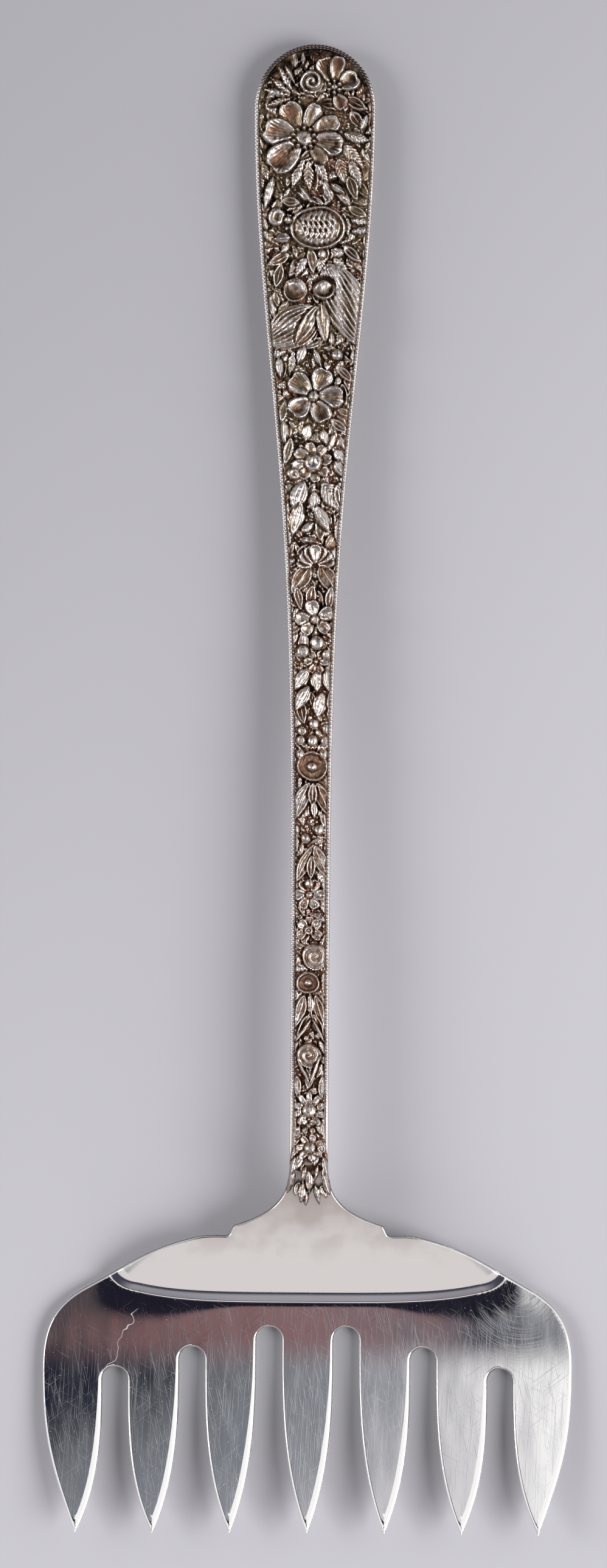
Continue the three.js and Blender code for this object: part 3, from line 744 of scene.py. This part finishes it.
HATCHED_LEAVES = [
    (9.2, 2.9, 2.8, 0.62, 72), (10.4, 2.9, 3.0, 0.7, 42), (11.8, 2.4, 3.4, 0.75, 22),
    (12.0, 3.7, 3.0, 0.6, 18), (12.0, -1.2, 3.0, 0.55, -22), (12.1, -0.7, 3.0, 0.55, 2),
    (12.0, 0.1, 2.8, 0.55, 26), (5.2, -2.6, 2.7, 0.42, -100), (5.0, -2.6, 2.7, 0.42, -128),
    (5.6, -2.6, 2.6, 0.42, -72), (4.6, -2.5, 2.6, 0.4, -152), (6.2, -2.8, 2.0, 0.35, -45),
    (17.9, 3.7, 2.0, 0.4, 76), (19.2, 3.8, 2.0, 0.4, 96), (22.0, -0.9, 2.2, 0.5, -30),
    (21.9, 0.5, 2.0, 0.5, 8), (22.0, 1.9, 2.6, 0.5, 40), (31.6, -2.0, 2.6, 0.45, -10),
    (32.4, 3.0, 2.2, 0.4, -28), (45.0, 0.9, 3.7, 1.02, 38), (49.0, -2.6, 2.4, 0.51, 4),
    (48.6, 2.7, 2.6, 0.51, -4), (84.6, -0.9, 2.2, 0.51, -12), (84.6, 1.0, 2.2, 0.51, 12),
]
# Broad fluted leaves: length, half-width, heading, height, flutes
FANS = [
    (27.2, 0.6, 6.4, 2.2, -56, 0.6, 10), (26.8, 0.4, 4.6, 0.9, -28, 0.65, 3),
    (22.6, 1.2, 9.6, 2.4, 28, 0.65, 10), (26.4, 0.7, 4.2, 0.7, 6, 0.5, 2),
]
# Berries: radius, height, depth of the eye
BERRIES = [
    (17.8, -3.8, 0.95, 0.5, 0.7), (18.2, -2.7, 0.42, 0.55, 0), (31.8, 2.4, 0.6, 0.65, 0),
    (21.6, 0.7, 0.5, 0.4, 0), (42.9, 0.0, 0.95, 0.6, 0.5), (44.1, -2.0, 0.65, 0.45, 0.6),
    (36.1, 0.0, 0.55, 0.65, 0), (59.0, 0.3, 0.5, 0.55, 0.2), (61.4, 0.5, 0.75, 0.55, 0),
    (62.3, -0.9, 0.65, 0.5, 0.2), (62.6, 1.5, 0.5, 0.45, 0), (69.7, 0.3, 0.57, 0.55, 0),
    (70.3, -0.95, 0.52, 0.5, 0.2), (70.1, 1.55, 0.52, 0.5, 0), (71.3, 0.15, 0.6, 0.6, 0.15),
    (71.3, -1.1, 0.5, 0.5, 0.2), (71.3, 1.4, 0.5, 0.5, 0.2), (72.6, -1.05, 0.48, 0.45, 0),
    (72.6, 1.3, 0.5, 0.45, 0), (80.4, 0.8, 0.52, 0.55, 0), (81.3, -0.6, 0.52, 0.55, 0),
    (85.9, -0.1, 0.5, 0.5, 0), (101.6, -0.3, 0.32, 0.4, 0), (101.3, 0.9, 0.36, 0.45, 0),
]
# Rings with a heart: radius, height, heart radius
RINGS = [
    (73.9, 0.15, 1.6, 0.65, 0.55), (90.6, -0.1, 0.5, 0.5, 0.16), (95.95, -0.2, 1.2, 0.65, 0.42),
    (112.7, 1.3, 0.5, 0.4, 0.15),
]
# Curled buds: radius, height
BUDS = [(3.9, -0.4, 1.2, 0.6), (93.3, 0.5, 1.3, 0.6), (103.4, 0.05, 1.25, 0.6)]
# Cups: half-width, height, heading
CUPS = [(25.2, -2.0, 1.25, 0.75, -20), (25.1, 1.0, 1.2, 0.75, 15)]
# Stems: length, half-width, heading
STEMS = [
    (106.3, 0.0, 3.0, 0.2, -155), (106.3, 0.0, 3.4, 0.2, 158), (99.6, 0.1, 2.8, 0.2, -32),
    (99.6, 0.2, 2.8, 0.2, 30),
]
# The head of seeds: place, reach, then half-width, rise and height
SEED_HEAD_AT = (18.9, 0.3)
SEED_HEAD_REACH = 4.0
SEED_HEAD = (2.9, 2.3, 0.75)
# Hearts of the large flowers: radius, stamens round it
HEARTS = [(9.7, -1.1, 1.05, 10), (4.4, 1.95, 0.6, 6)]


# A place on the panel, with the wide end as likely as its share of the whole
def chance_place():
    while True:
        from_butt = chance.uniform(0, HANDLE_LENGTH - 1)
        half = float(handle_half(BUTT_Y - from_butt))
        if chance.uniform(0, PANEL_HALF) < half:
            return from_butt, chance.uniform(-half, half)


# The relief as it grows: its heights, the tone of each form, and the waver of the hand that draws it
class Relief:
    def __init__(self):
        self.hand = [wander(0.7, 0.06), wander(0.7, 0.06)]
        past_neck = ramp(HANDLE_LENGTH - 1, HANDLE_LENGTH + 1, below)
        self.heights = wander(0.2, 0.03) - 0.08 - 0.4 * past_neck
        self.tone = np.zeros_like(self.heights)

    # Lays a form over what is there, turned to its heading and a little tilted, with a groove round it
    def stamp(self, from_butt, right, heading, reach, form, sizes, tilt=0.1, darker=0.0):
        rows = slice(max(0, int((from_butt - reach) / CELL)), int((from_butt + reach) / CELL) + 1)
        left = int((right - reach + PANEL_HALF) / CELL)
        part = (rows, slice(max(0, left), max(0, left + int(2 * reach / CELL))))
        x = right_of[part] + self.hand[0][part] - right
        s = below[part] + self.hand[1][part] - from_butt
        turn = math.radians(heading)
        ahead = x * math.sin(turn) + s * math.cos(turn)
        aside = x * math.cos(turn) - s * math.sin(turn)
        outside, height = form(ahead, aside, *sizes)
        leans = chance.normal(0, tilt, 2) / max(1, 0.6 * reach)
        old = self.heights[part]
        chased = np.maximum(old - CHASE_DEPTH * bell(outside, CHASE_WIDTH), np.minimum(old, -DEEPEST))
        tilted = np.maximum(height + leans[0] * ahead + leans[1] * aside, LOWEST_TOP)
        self.heights[part] = np.where(outside < 0, tilted, chased)
        self.tone[part] = np.where(outside < 0, chance.normal(darker, 0.1), self.tone[part])

    # Stamps a table of blades, which may share one height
    def blades(self, form, table, *height, tilt=0.1, darker=0.0, margin=0.5):
        for from_butt, right, length, half, heading, *rest in table:
            sizes = (length, half, *height, *rest)
            self.stamp(from_butt, right, heading, length + margin, form, sizes, tilt, darker)

    # Stamps a table of round forms
    def rounds(self, form, table):
        for from_butt, right, radius, *rest in table:
            self.stamp(from_butt, right, 0, radius + 0.4, form, (radius, *rest))


# The ground: tiny beads everywhere, then small leaves that lie anyhow
def ground(relief):
    for _ in range(GROUND_BEADS):
        radius = chance.uniform(0.12, 0.24)
        relief.stamp(*chance_place(), 0, 0.4, ball, (radius, chance.uniform(0.02, 0.12)))
    for _ in range(GROUND_LEAVES):
        length = chance.uniform(1.3, 3.0)
        form = (plump, outlined, hatched)[chance.integers(3)]
        sizes = (length, 0.2 * length, chance.uniform(0.18, 0.4))
        relief.stamp(*chance_place(), chance.normal(0, 55), 3.4, form, sizes, 0.12, 0.12)


def leaves(relief):
    relief.blades(hatched, HATCHED_LEAVES, 0.42)
    relief.blades(outlined, OUTLINED_LEAVES, 0.45)
    relief.blades(plump, PLUMP_LEAVES, 0.5)
    relief.blades(fluted, FANS, tilt=0.03, darker=0.1)


def flowers(relief):
    for from_butt, right, half, height, heading in CUPS:
        relief.stamp(from_butt, right, heading, half + 0.5, cup, (half, height))
    relief.stamp(*SEED_HEAD_AT, 0, SEED_HEAD_REACH, seed_head, SEED_HEAD, 0.0)
    relief.blades(petal, PETALS, tilt=0.13)
    for from_butt, right, length, half, headings, height, hollow, heart in SMALL_FLOWERS:
        for heading in headings:
            relief.stamp(from_butt, right, heading, length + 0.5, petal, (length, half, height, hollow))
        if heart:
            relief.rounds(ball, [(from_butt, right, heart, height)])
    for from_butt, right, reach, stamens in HEARTS:
        relief.rounds(ball, [(from_butt, right, reach, 0.5)])
        for turn in np.radians(even(stamens, 0)):
            place = (from_butt + reach * np.cos(turn), right + reach * np.sin(turn))
            relief.stamp(*place, 0, 0.5, ball, (0.22, 0.75))


def chased_relief():
    relief = Relief()
    ground(relief)
    leaves(relief)
    flowers(relief)
    relief.rounds(ring_flower, RINGS)
    relief.rounds(curled_bud, BUDS)
    relief.rounds(ball, BERRIES)
    relief.blades(plump, STEMS, 0.5, tilt=0.0, margin=0.4)
    return relief.heights + wander(0.1, 0.015), blurred(relief.tone, 0.05)


# The value of a raster at places across and along the panel
def sampled(field, x, from_butt):
    column = np.clip((x + PANEL_HALF) / CELL, 0, field.shape[1] - 1.001)
    row = np.clip(from_butt / CELL, 0, field.shape[0] - 1.001)
    c, r = column.astype(int), row.astype(int)
    u, v = column - c, row - r
    upper = field[r, c] * (1 - u) + field[r, c + 1] * u
    lower = field[r + 1, c] * (1 - u) + field[r + 1, c + 1] * u
    return upper * (1 - v) + lower * v


ARC_ROWS = 76
WIDE_ROWS = 310
NARROW_ROWS = 830
WIDE_COLUMNS = 120
NARROW_COLUMNS = WIDE_COLUMNS // 2
NARROW_FROM = 36
GROUND = 0.3
RELIEF_SCALE = 1.3
LEAST_COVER = 0.04
FOOT_DEPTH = 0.3


# Rows of points across the panel, from the butt to the end of the fringe
def panel_row(y, columns):
    half = float(handle_half(y, PANEL_INSET)) + PANEL_INSET * float(ramp(NECK_Y + 4, NECK_Y, y))
    half += FRINGE_FLARE * float(ramp(NECK_Y, FRINGE_Y, y))
    return np.stack([half * np.linspace(-1, 1, columns + 1), np.full(columns + 1, y)], 1)


def panel_rows():
    round_end = BUTT_Y - BUTT_ROUND
    change = BUTT_Y - NARROW_FROM
    arc_y = round_end + (BUTT_ROUND - PANEL_INSET) * np.cos(np.linspace(0.02, math.pi / 2, ARC_ROWS))
    wide_y = np.linspace(round_end, change, WIDE_ROWS)[1:]
    narrow_y = np.linspace(change, FRINGE_Y, NARROW_ROWS)[1:]
    rows = [panel_row(y, WIDE_COLUMNS) for y in np.concatenate([arc_y, wide_y])]
    return rows + [panel_row(y, NARROW_COLUMNS) for y in narrow_y]


# Faces of the panel: its front, where a row may have half as many columns as the one before, both sides,
# the underside between the feet of the sides, and both ends
def panel_faces(rows, ends, count):
    faces = []
    for r, (row, next_row) in enumerate(zip(rows, rows[1:])):
        a, b = ends[r, 0], ends[r + 1, 0]
        columns = range(len(next_row) - 1)
        if len(row) == len(next_row):
            faces += [(a + c, b + c, b + c + 1, a + c + 1) for c in columns]
        else:
            faces += [(a + 2 * c, b + c, b + c + 1, a + 2 * c + 2, a + 2 * c + 1) for c in columns]
        low, next_low = count + 2 * r, count + 2 * r + 2
        faces.append((a, low, next_low, b))
        faces.append((ends[r, 1], ends[r + 1, 1], next_low + 1, low + 1))
        faces.append((low, low + 1, next_low + 1, next_low))
    last = count + 2 * len(rows) - 2
    faces.append((*range(ends[-1, 0], ends[-1, 1] + 1), last + 1, last))
    faces.append((*range(ends[0, 1], ends[0, 0] - 1, -1), count, count + 1))
    return [[int(i) for i in face] for face in faces]


# Tarnish lies in the grooves and on the lower forms. Painted shade darkens the panel towards the butt and
# round its rim, and painted light makes it paler down the handle.
def panel_patina_and_shade(relief, tone, x, from_butt, butt_shade):
    field = (blurred(relief, 0.24) - relief) / 0.2 + 0.4 - 0.5 * relief + tone
    shade = sampled(field, x, from_butt) + 0.9 * butt_shade
    shade += 0.28 * ramp(36, 2, from_butt) - 0.2 * ramp(40, 60, from_butt) - 0.22 * ramp(60, 80, from_butt)
    return shade - 0.14 * ramp(103, 110, from_butt)


def floral_panel():
    relief, tone = chased_relief()
    rows = panel_rows()
    x, y = np.vstack(rows).T
    from_butt = BUTT_Y - y
    half = np.concatenate([np.full(len(row), row[-1, 0]) for row in rows])
    arc_reach = np.hypot(x * BUTT_ROUND / (BUTT_WIDTH / 2), BUTT_ROUND - from_butt)
    in_arc = from_butt < BUTT_ROUND
    to_edge = np.where(in_arc, BUTT_ROUND - PANEL_INSET - arc_reach, half - np.abs(x))
    height = RELIEF_SCALE * sampled(relief, x, from_butt) + GROUND
    height = np.where(from_butt < HANDLE_LENGTH - 1, np.maximum(height, LEAST_COVER), height)
    height *= ramp(-0.12, 0.25, to_edge)
    # Round the butt's rim the relief is lowered, and painted shade darkens its colour
    butt_shade = ramp(1.7, 0.3, to_edge) * ramp(7, 3, from_butt)
    height *= 1 - 0.6 * butt_shade
    top = np.stack([x, y, fork_top(x, y) + height], 1)
    starts = np.cumsum([0] + [len(row) for row in rows])
    ends = np.stack([starts[:-1], starts[1:] - 1], 1)
    foot = top[ends].reshape(-1, 3)
    foot[:, 2] = fork_top(foot[:, 0], foot[:, 1]) - FOOT_DEPTH
    made = piece("floral_panel_chased", np.vstack([top, foot]), panel_faces(rows, ends, len(top)))
    shade = panel_patina_and_shade(relief, tone, x, from_butt, butt_shade)
    give_patina_and_shade(made, np.concatenate([shade, np.ones(len(foot))]))
    return made


# Materials. A helper that takes a socket works in that socket's own node tree.

def is_socket(value):
    return isinstance(value, bpy.types.NodeSocket)


def node(tree, kind, sockets=None, **settings):
    made = tree.nodes.new("ShaderNode" + kind)
    for name, value in settings.items():
        setattr(made, name, value)
    for name, value in (sockets or {}).items():
        if is_socket(value):
            tree.links.new(value, made.inputs[name])
        else:
            made.inputs[name].default_value = value
    return made


def worked(operation, *values):
    tree = next(value for value in values if is_socket(value)).id_data
    return node(tree, "Math", dict(enumerate(values)), operation=operation).outputs[0]


def times(first, second):
    return worked("MULTIPLY", first, second)


def plus(first, second):
    return worked("ADD", first, second)


def minus(first, second):
    return worked("SUBTRACT", first, second)


def most(*values):
    found = values[0]
    for value in values[1:]:
        found = worked("MAXIMUM", found, value)
    return found


def mapped(value, low, high, to_low=0.0, to_high=1.0, ease="SMOOTHSTEP"):
    sockets = {"Value": value, "From Min": low, "From Max": high, "To Min": to_low, "To Max": to_high}
    return node(value.id_data, "MapRange", sockets, interpolation_type=ease).outputs["Result"]


def colour_ramp(value, stops):
    made = node(value.id_data, "ValToRGB", {"Fac": value})
    elements = made.color_ramp.elements
    for place, colour in stops[2:]:
        elements.new(place)
    for element, (place, colour) in zip(elements, sorted(stops)):
        element.position = place
        element.color = (*colour, 1)
    return made.outputs["Color"]


def mixed(share, first, second, blend="MIX"):
    made = node(share.id_data, "Mix", {0: share}, data_type="RGBA", blend_type=blend)
    for socket, value in ((made.inputs[6], first), (made.inputs[7], second)):
        if is_socket(value):
            share.id_data.links.new(value, socket)
        else:
            socket.default_value = (*value, 1)
    return made.outputs[2]


def feed(shader, name, value):
    shader.id_data.links.new(value, shader.inputs[name])


def place_in(tree, space="Object"):
    return node(tree, "SeparateXYZ", {0: node(tree, "TexCoord").outputs[space]}).outputs


# Reads the patina and painted shade stored on each point
def patina_and_shade_in(tree):
    return node(tree, "Attribute", attribute_name="patina_and_shade").outputs["Fac"]


# Noise whose grains are so many millimetres across, alike in x, y and z or each its own, turned about z
def grain(tree, sizes, turn=0.0, detail=2.0, roughness=0.5):
    place = node(tree, "TexCoord").outputs["Object"]
    turned = node(tree, "Mapping", {"Vector": place, "Rotation": (0, 0, math.radians(turn))})
    scale = tuple(float(1 / (size * MM)) for size in np.broadcast_to(sizes, 3))
    stretched = node(tree, "Mapping", {"Vector": turned.outputs[0], "Scale": scale})
    sockets = {"Vector": stretched.outputs[0], "Scale": 1.0, "Detail": detail, "Roughness": roughness}
    return node(tree, "TexNoise", sockets).outputs["Fac"]


def new_material(name, colour, roughness):
    made = bpy.data.materials.new(name)
    made.use_nodes = True
    shader = made.node_tree.nodes["Principled BSDF"]
    shader.inputs["Base Color"].default_value = (*colour, 1)
    shader.inputs["Metallic"].default_value = 1.0
    shader.inputs["Roughness"].default_value = roughness
    return made, made.node_tree, shader


def bump(shader, height, strength, distance):
    made = node(height.id_data, "Bump", {"Height": height, "Strength": strength, "Distance": distance * MM})
    if shader.inputs["Normal"].is_linked:
        feed(made, "Normal", shader.inputs["Normal"].links[0].from_socket)
    feed(shader, "Normal", made.outputs["Normal"])


# Hairline scratches: thin streaks of noise, most along the tines and a few across them
def scratches(tree):
    along = mapped(grain(tree, (0.05, 6, 6), 3, 1), 0.6, 0.75, 0.0, 0.6)
    slanting = mapped(grain(tree, (0.06, 4, 4), -14, 1), 0.66, 0.76, 0.0, 0.7)
    across = mapped(grain(tree, (0.05, 5, 5), 52, 1), 0.71, 0.77)
    counter = mapped(grain(tree, (0.05, 4, 4), -61, 1), 0.72, 0.78)
    return most(along, slanting, across, counter)


# Fine arcs of wiping marks round the right corner of the palm
SWIRL_AT = (22, -51)
SWIRL_REACH = 9
SWIRL_SPACING = 0.07


def swirls(tree, place):
    x = minus(place["X"], SWIRL_AT[0] * MM)
    y = minus(place["Y"], SWIRL_AT[1] * MM)
    radius = worked("SQRT", plus(times(x, x), times(y, y)))
    polar = node(tree, "CombineXYZ", {
        "X": times(radius, 1 / (SWIRL_SPACING * MM)),
        "Y": worked("ARCTAN2", y, x),
    })
    arcs = node(tree, "TexNoise", {"Vector": polar.outputs[0], "Scale": 1.0, "Detail": 1.0}).outputs["Fac"]
    near = mapped(radius, 0.4 * SWIRL_REACH * MM, SWIRL_REACH * MM, 1.0, 0.0)
    return times(near, mapped(arcs, 0.56, 0.7))


# One long wandering scratch, down from the left end of the step
SCRATCH_START = (-17.6, -53.2)
SCRATCH_END = (-20.4, -59.6)
SCRATCH_HALF = 0.055
SCRATCH_WANDER = 0.5
SCRATCH_FADE = 0.4


def long_scratch(tree, place):
    lean = (SCRATCH_END[0] - SCRATCH_START[0]) / (SCRATCH_END[1] - SCRATCH_START[1])
    along = minus(place["Y"], SCRATCH_START[1] * MM)
    middle = plus(times(along, lean), SCRATCH_START[0] * MM)
    reach = SCRATCH_WANDER * MM
    wandering = mapped(grain(tree, 1.6, 0, 1), 0.25, 0.75, -reach, reach)
    off = worked("ABSOLUTE", minus(place["X"], plus(middle, wandering)))
    line = mapped(off, 0.5 * SCRATCH_HALF * MM, SCRATCH_HALF * MM, 1.0, 0.0)
    above_end = mapped(place["Y"], SCRATCH_END[1] * MM, (SCRATCH_END[1] + SCRATCH_FADE) * MM)
    below_start = mapped(place["Y"], (SCRATCH_START[1] - SCRATCH_FADE) * MM, SCRATCH_START[1] * MM, 1.0, 0.0)
    return times(line, times(above_end, below_start))


POLISHED = (0.93, 0.92, 0.905)
DULLED = (0.62, 0.57, 0.545)
BLOTCH = 1.2 * MM


def polished_silver():
    material, tree, shader = new_material("polished_silver", POLISHED, 0.05)
    place = place_in(tree)
    bump(shader, grain(tree, (3, 7, 3), 0, 1), 1.0, 0.011)
    marks = most(scratches(tree), swirls(tree, place))
    pits = mapped(grain(tree, 0.2, 0, 1), 0.74, 0.8)
    bump(shader, plus(marks, pits), 0.05, 0.02)
    haze = mapped(grain(tree, (4, 9, 4), 0, 3), 0.35, 0.75, 0.03, 0.08)
    worn = most(times(marks, 0.12), times(pits, 0.25), times(long_scratch(tree, place), 0.4))
    # A trace of tarnish left round the neck, below the ornament, where the polish is duller
    blotch = mapped(grain(tree, 3, 0, 3), 0.3, 0.7, -BLOTCH, BLOTCH)
    near_neck = mapped(plus(place["Y"], blotch), (NECK_Y - 10.2) * MM, (NECK_Y - 3.2) * MM)
    dull = mapped(place["Y"], (NECK_Y - 6.2) * MM, (NECK_Y - 2.7) * MM, 0.0, 0.3)
    feed(shader, "Roughness", plus(plus(haze, worn), dull))
    feed(shader, "Base Color", mixed(near_neck, POLISHED, DULLED))
    return material


BRONZE = (0.27, 0.205, 0.125)
WARM_TINT = (1.0, 0.88, 0.76)
RED_BROWN = (0.225, 0.115, 0.076)
WARM_FROM = 40 * MM
RED_FROM = 50 * MM


def oxidised_silver():
    material, tree, shader = new_material("oxidised_silver", (0.8, 0.74, 0.65), 0.28)
    # The depth holds the panel's patina together with its painted shade
    depth = plus(patina_and_shade_in(tree), mapped(grain(tree, 0.8, 0, 4, 0.6), 0.3, 0.7, -0.14, 0.14))
    silver = colour_ramp(depth, [
        (0.0, (0.63, 0.58, 0.565)),
        (0.25, (0.5, 0.435, 0.395)),
        (0.5, (0.29, 0.215, 0.16)),
        (0.8, (0.085, 0.05, 0.033)),
        (1.0, (0.015, 0.011, 0.009)),
    ])
    # Patches of bronze, a warmer tint on the lower handle, and red-brown in the recesses, more of it there
    patches = mapped(grain(tree, 4, 30, 2), 0.46, 0.64)
    silver = mixed(times(patches, mapped(depth, 0.1, 0.35, 0.15, 0.6)), silver, BRONZE)
    along = place_in(tree)["Y"]
    warmth = times(mapped(along, WARM_FROM, 0.0), mapped(depth, 0.0, 0.4, 0.25, 1.0))
    silver = mixed(warmth, silver, WARM_TINT, "MULTIPLY")
    lower_down = mapped(along, RED_FROM, 0.0, 0.0, 0.12)
    spots = mapped(plus(grain(tree, 2.6, 0, 2), lower_down), 0.5, 0.66)
    recesses = mapped(plus(depth, times(lower_down, 2.4)), 0.4, 0.65, 0.0, 0.75)
    feed(shader, "Base Color", mixed(times(spots, recesses), silver, RED_BROWN))
    feed(shader, "Roughness", mapped(depth, 0.1, 0.7, 0.25, 0.5))
    bump(shader, grain(tree, 0.14, 0, 3), 0.5, 0.05)
    return material


def bead_silver():
    material, tree, shader = new_material("bead_silver", (0.8, 0.76, 0.73), 0.25)
    feed(shader, "Roughness", mapped(grain(tree, 0.5, 0, 3), 0.3, 0.7, 0.18, 0.36))
    bright = colour_ramp(grain(tree, 1.6, 0, 3), [(0.35, (0.86, 0.82, 0.8)), (0.75, (0.55, 0.49, 0.45))])
    # The beads turn dark round the butt with painted shade
    feed(shader, "Base Color", mixed(patina_and_shade_in(tree), bright, (0.09, 0.07, 0.065)))
    return material


def silver_solder():
    material, tree, shader = new_material("silver_solder", (0.8, 0.78, 0.73), 0.3)
    feed(shader, "Roughness", mapped(grain(tree, 0.4, 0, 3), 0.3, 0.7, 0.2, 0.42))
    bump(shader, grain(tree, 0.3, 0, 3), 0.2, 0.03)
    return material


# Stage. The frame is the picture's size in pixels, with the fork's middle at a pixel of it and a slight lean.

FRAME_TALL = 2576
FRAME_WIDE = 998
PIXELS_PER_MM = 16.07
MIDDLE_PIXEL = (511.5, 1295.5)
LEAN = 0.0062
CAMERA_HEIGHT = 600
MEAN_HEIGHT = 2.6


def camera():
    data = bpy.data.cameras.new("camera")
    data.sensor_fit = "VERTICAL"
    data.sensor_height = 36
    tall = FRAME_TALL / PIXELS_PER_MM
    data.lens = data.sensor_height * (CAMERA_HEIGHT - MEAN_HEIGHT) / tall
    data.clip_start = 0.01
    made = placed("camera", data)
    right = (FRAME_WIDE / 2 - MIDDLE_PIXEL[0]) / PIXELS_PER_MM
    up = (MIDDLE_PIXEL[1] - FRAME_TALL / 2) / PIXELS_PER_MM
    x = right * math.cos(LEAN) - up * math.sin(LEAN)
    y = right * math.sin(LEAN) + up * math.cos(LEAN)
    made.location = Vector((x, y, CAMERA_HEIGHT)) * MM
    made.rotation_euler = (0, 0, LEAN)
    bpy.context.scene.camera = made


# The floor is pale paper with painted shade, greyer past the butt and to the left
PALE_PAPER = (0.61, 0.6, 0.634)
SHADED_PAPER = (0.43, 0.424, 0.452)
PALE_UP_TO = -60 * MM
DEEPEST_SHADE_FROM = 140 * MM
FLOOR_HALF = 3.0


def floor():
    mesh = bpy.data.meshes.new("floor")
    corners = [(x * FLOOR_HALF, y * FLOOR_HALF, 0) for x, y in ((-1, -1), (1, -1), (1, 1), (-1, 1))]
    mesh.from_pydata(corners, [], [(0, 1, 2, 3)])
    material, tree, shader = new_material("floor_paper", PALE_PAPER, 0.9)
    shader.inputs["Metallic"].default_value = 0.0
    shader.inputs["Specular IOR Level"].default_value = 0.1
    place = place_in(tree)
    # Painted shade: the paper greys along this way
    shade_way = minus(place["Y"], times(place["X"], 0.9))
    feed(shader, "Base Color", mixed(mapped(shade_way, PALE_UP_TO, DEEPEST_SHADE_FROM), PALE_PAPER, SHADED_PAPER))
    mesh.materials.append(material)
    placed("floor", mesh)


# The room that the polished silver mirrors, by direction. Straight overhead it goes from dark on the left to
# white on the right.
OVERHEAD = [
    (0.0, (0.01, 0.012, 0.025)),
    (0.2, (0.014, 0.017, 0.033)),
    (0.27, (0.035, 0.037, 0.052)),
    (0.34, (0.11, 0.112, 0.13)),
    (0.42, (0.17, 0.18, 0.2)),
    (0.5, (0.19, 0.205, 0.24)),
    (0.6, (0.26, 0.27, 0.31)),
    (0.67, (0.4, 0.4, 0.44)),
    (0.71, (0.62, 0.61, 0.65)),
    (0.78, (0.74, 0.73, 0.76)),
    (0.84, (0.98, 0.98, 0.99)),
]
# A soft warm tone over the palm, from left to right
WARM = [
    (0.1, (0.075, 0.062, 0.07)),
    (0.25, (0.19, 0.1, 0.103)),
    (0.5, (0.25, 0.142, 0.15)),
    (0.66, (0.2, 0.145, 0.163)),
    (0.74, (0.05, 0.06, 0.085)),
    (0.84, (0.11, 0.125, 0.155)),
    (0.93, (0.3, 0.32, 0.36)),
    (1.0, (0.68, 0.68, 0.7)),
]
OVERHEAD_HALF = 0.06


def overhead(x, y):
    behind_only = worked("MAXIMUM", y, 0)
    narrowed = times(x, mapped(behind_only, 0.0, 0.25, 1.0, 0.45, "LINEAR"))
    across = plus(narrowed, times(behind_only, 0.07))
    ends = (-OVERHEAD_HALF, OVERHEAD_HALF, 0.0, 1.0, "LINEAR")
    colour = colour_ramp(mapped(across, *ends), OVERHEAD)
    warm = colour_ramp(mapped(x, *ends), WARM)
    return mixed(mapped(y, -0.01, -0.1), colour, warm)


# Round the overhead part: a pale left side, dimmer towards the butt, a dim wall behind the butt, a dark band
# in front, and past it a cream wall that ends in a dark edge and a grey horizon
def mirrored_room(way):
    x, y = way["X"], way["Y"]
    ahead = times(y, -1)
    left = mixed(mapped(y, 0.3, 0.6), (0.88, 0.88, 0.9), (0.4, 0.4, 0.42))
    colour = mixed(mapped(x, -0.22, -0.42), overhead(x, y), left)
    narrow = mapped(worked("ABSOLUTE", x), 0.15, 0.45, 1.0, 0.0)
    colour = mixed(times(narrow, mapped(y, 0.35, 0.6)), colour, (0.04, 0.04, 0.05))
    colour = mixed(times(narrow, mapped(ahead, 0.11, 0.14)), colour, (0.012, 0.012, 0.022))
    colour = mixed(mapped(ahead, 0.36, 0.45), colour, (0.71, 0.675, 0.68))
    in_front = mapped(ahead, 0.2, 0.35)
    level = minus(1.0, way["Z"])
    colour = mixed(times(in_front, mapped(level, 0.46, 0.53)), colour, (0.05, 0.05, 0.075))
    return mixed(times(in_front, mapped(level, 0.6, 0.86)), colour, (0.34, 0.33, 0.37))


# The soft light of the room on the floor comes from low down, and more from both sides
def soft_light(way):
    sides = mapped(worked("ABSOLUTE", way["X"]), 0.1, 0.7, 0.45, 1.0)
    share = times(mapped(way["Z"], 0.75, 0.15), sides)
    return mixed(share, (0.15, 0.15, 0.157), (2.05, 2.03, 2.09))


def room():
    world = bpy.data.worlds.new("room")
    bpy.context.scene.world = world
    world.use_nodes = True
    tree = world.node_tree
    way = place_in(tree, "Generated")
    path = node(tree, "LightPath").outputs
    colour = mixed(path["Is Diffuse Ray"], mirrored_room(way), soft_light(way))
    feed(tree.nodes["Background"], "Color", mixed(path["Is Camera Ray"], colour, (0.66, 0.65, 0.69)))


def lamp(name, place, size, power):
    data = bpy.data.lights.new(name, "AREA")
    data.shape = "DISK"
    data.size = size
    data.energy = power
    made = placed(name, data)
    made.location = place
    made.rotation_euler = (-Vector(place)).to_track_quat("-Z", "Y").to_euler()


def dress(made, node_name, material):
    made.data.materials.append(material)
    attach(made, "root")
    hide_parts(node_name)


camera()
floor()
room()
lamp("key", (0.74, -0.25, 0.64), 0.6, 6.4)
lamp("fill", (-0.85, 0.1, 0.5), 0.4, 3.1)

silver = polished_silver()
dress(tine_head(), "tine_head", silver)
dress(handle_bar(), "handle_bar", silver)
dress(heel_solder(), "heel_solder", silver_solder())
dress(floral_panel(), "floral_panel", oxidised_silver())
dress(bead_border(), "bead_border", bead_silver())

bpy.context.scene.view_settings.view_transform = "Standard"
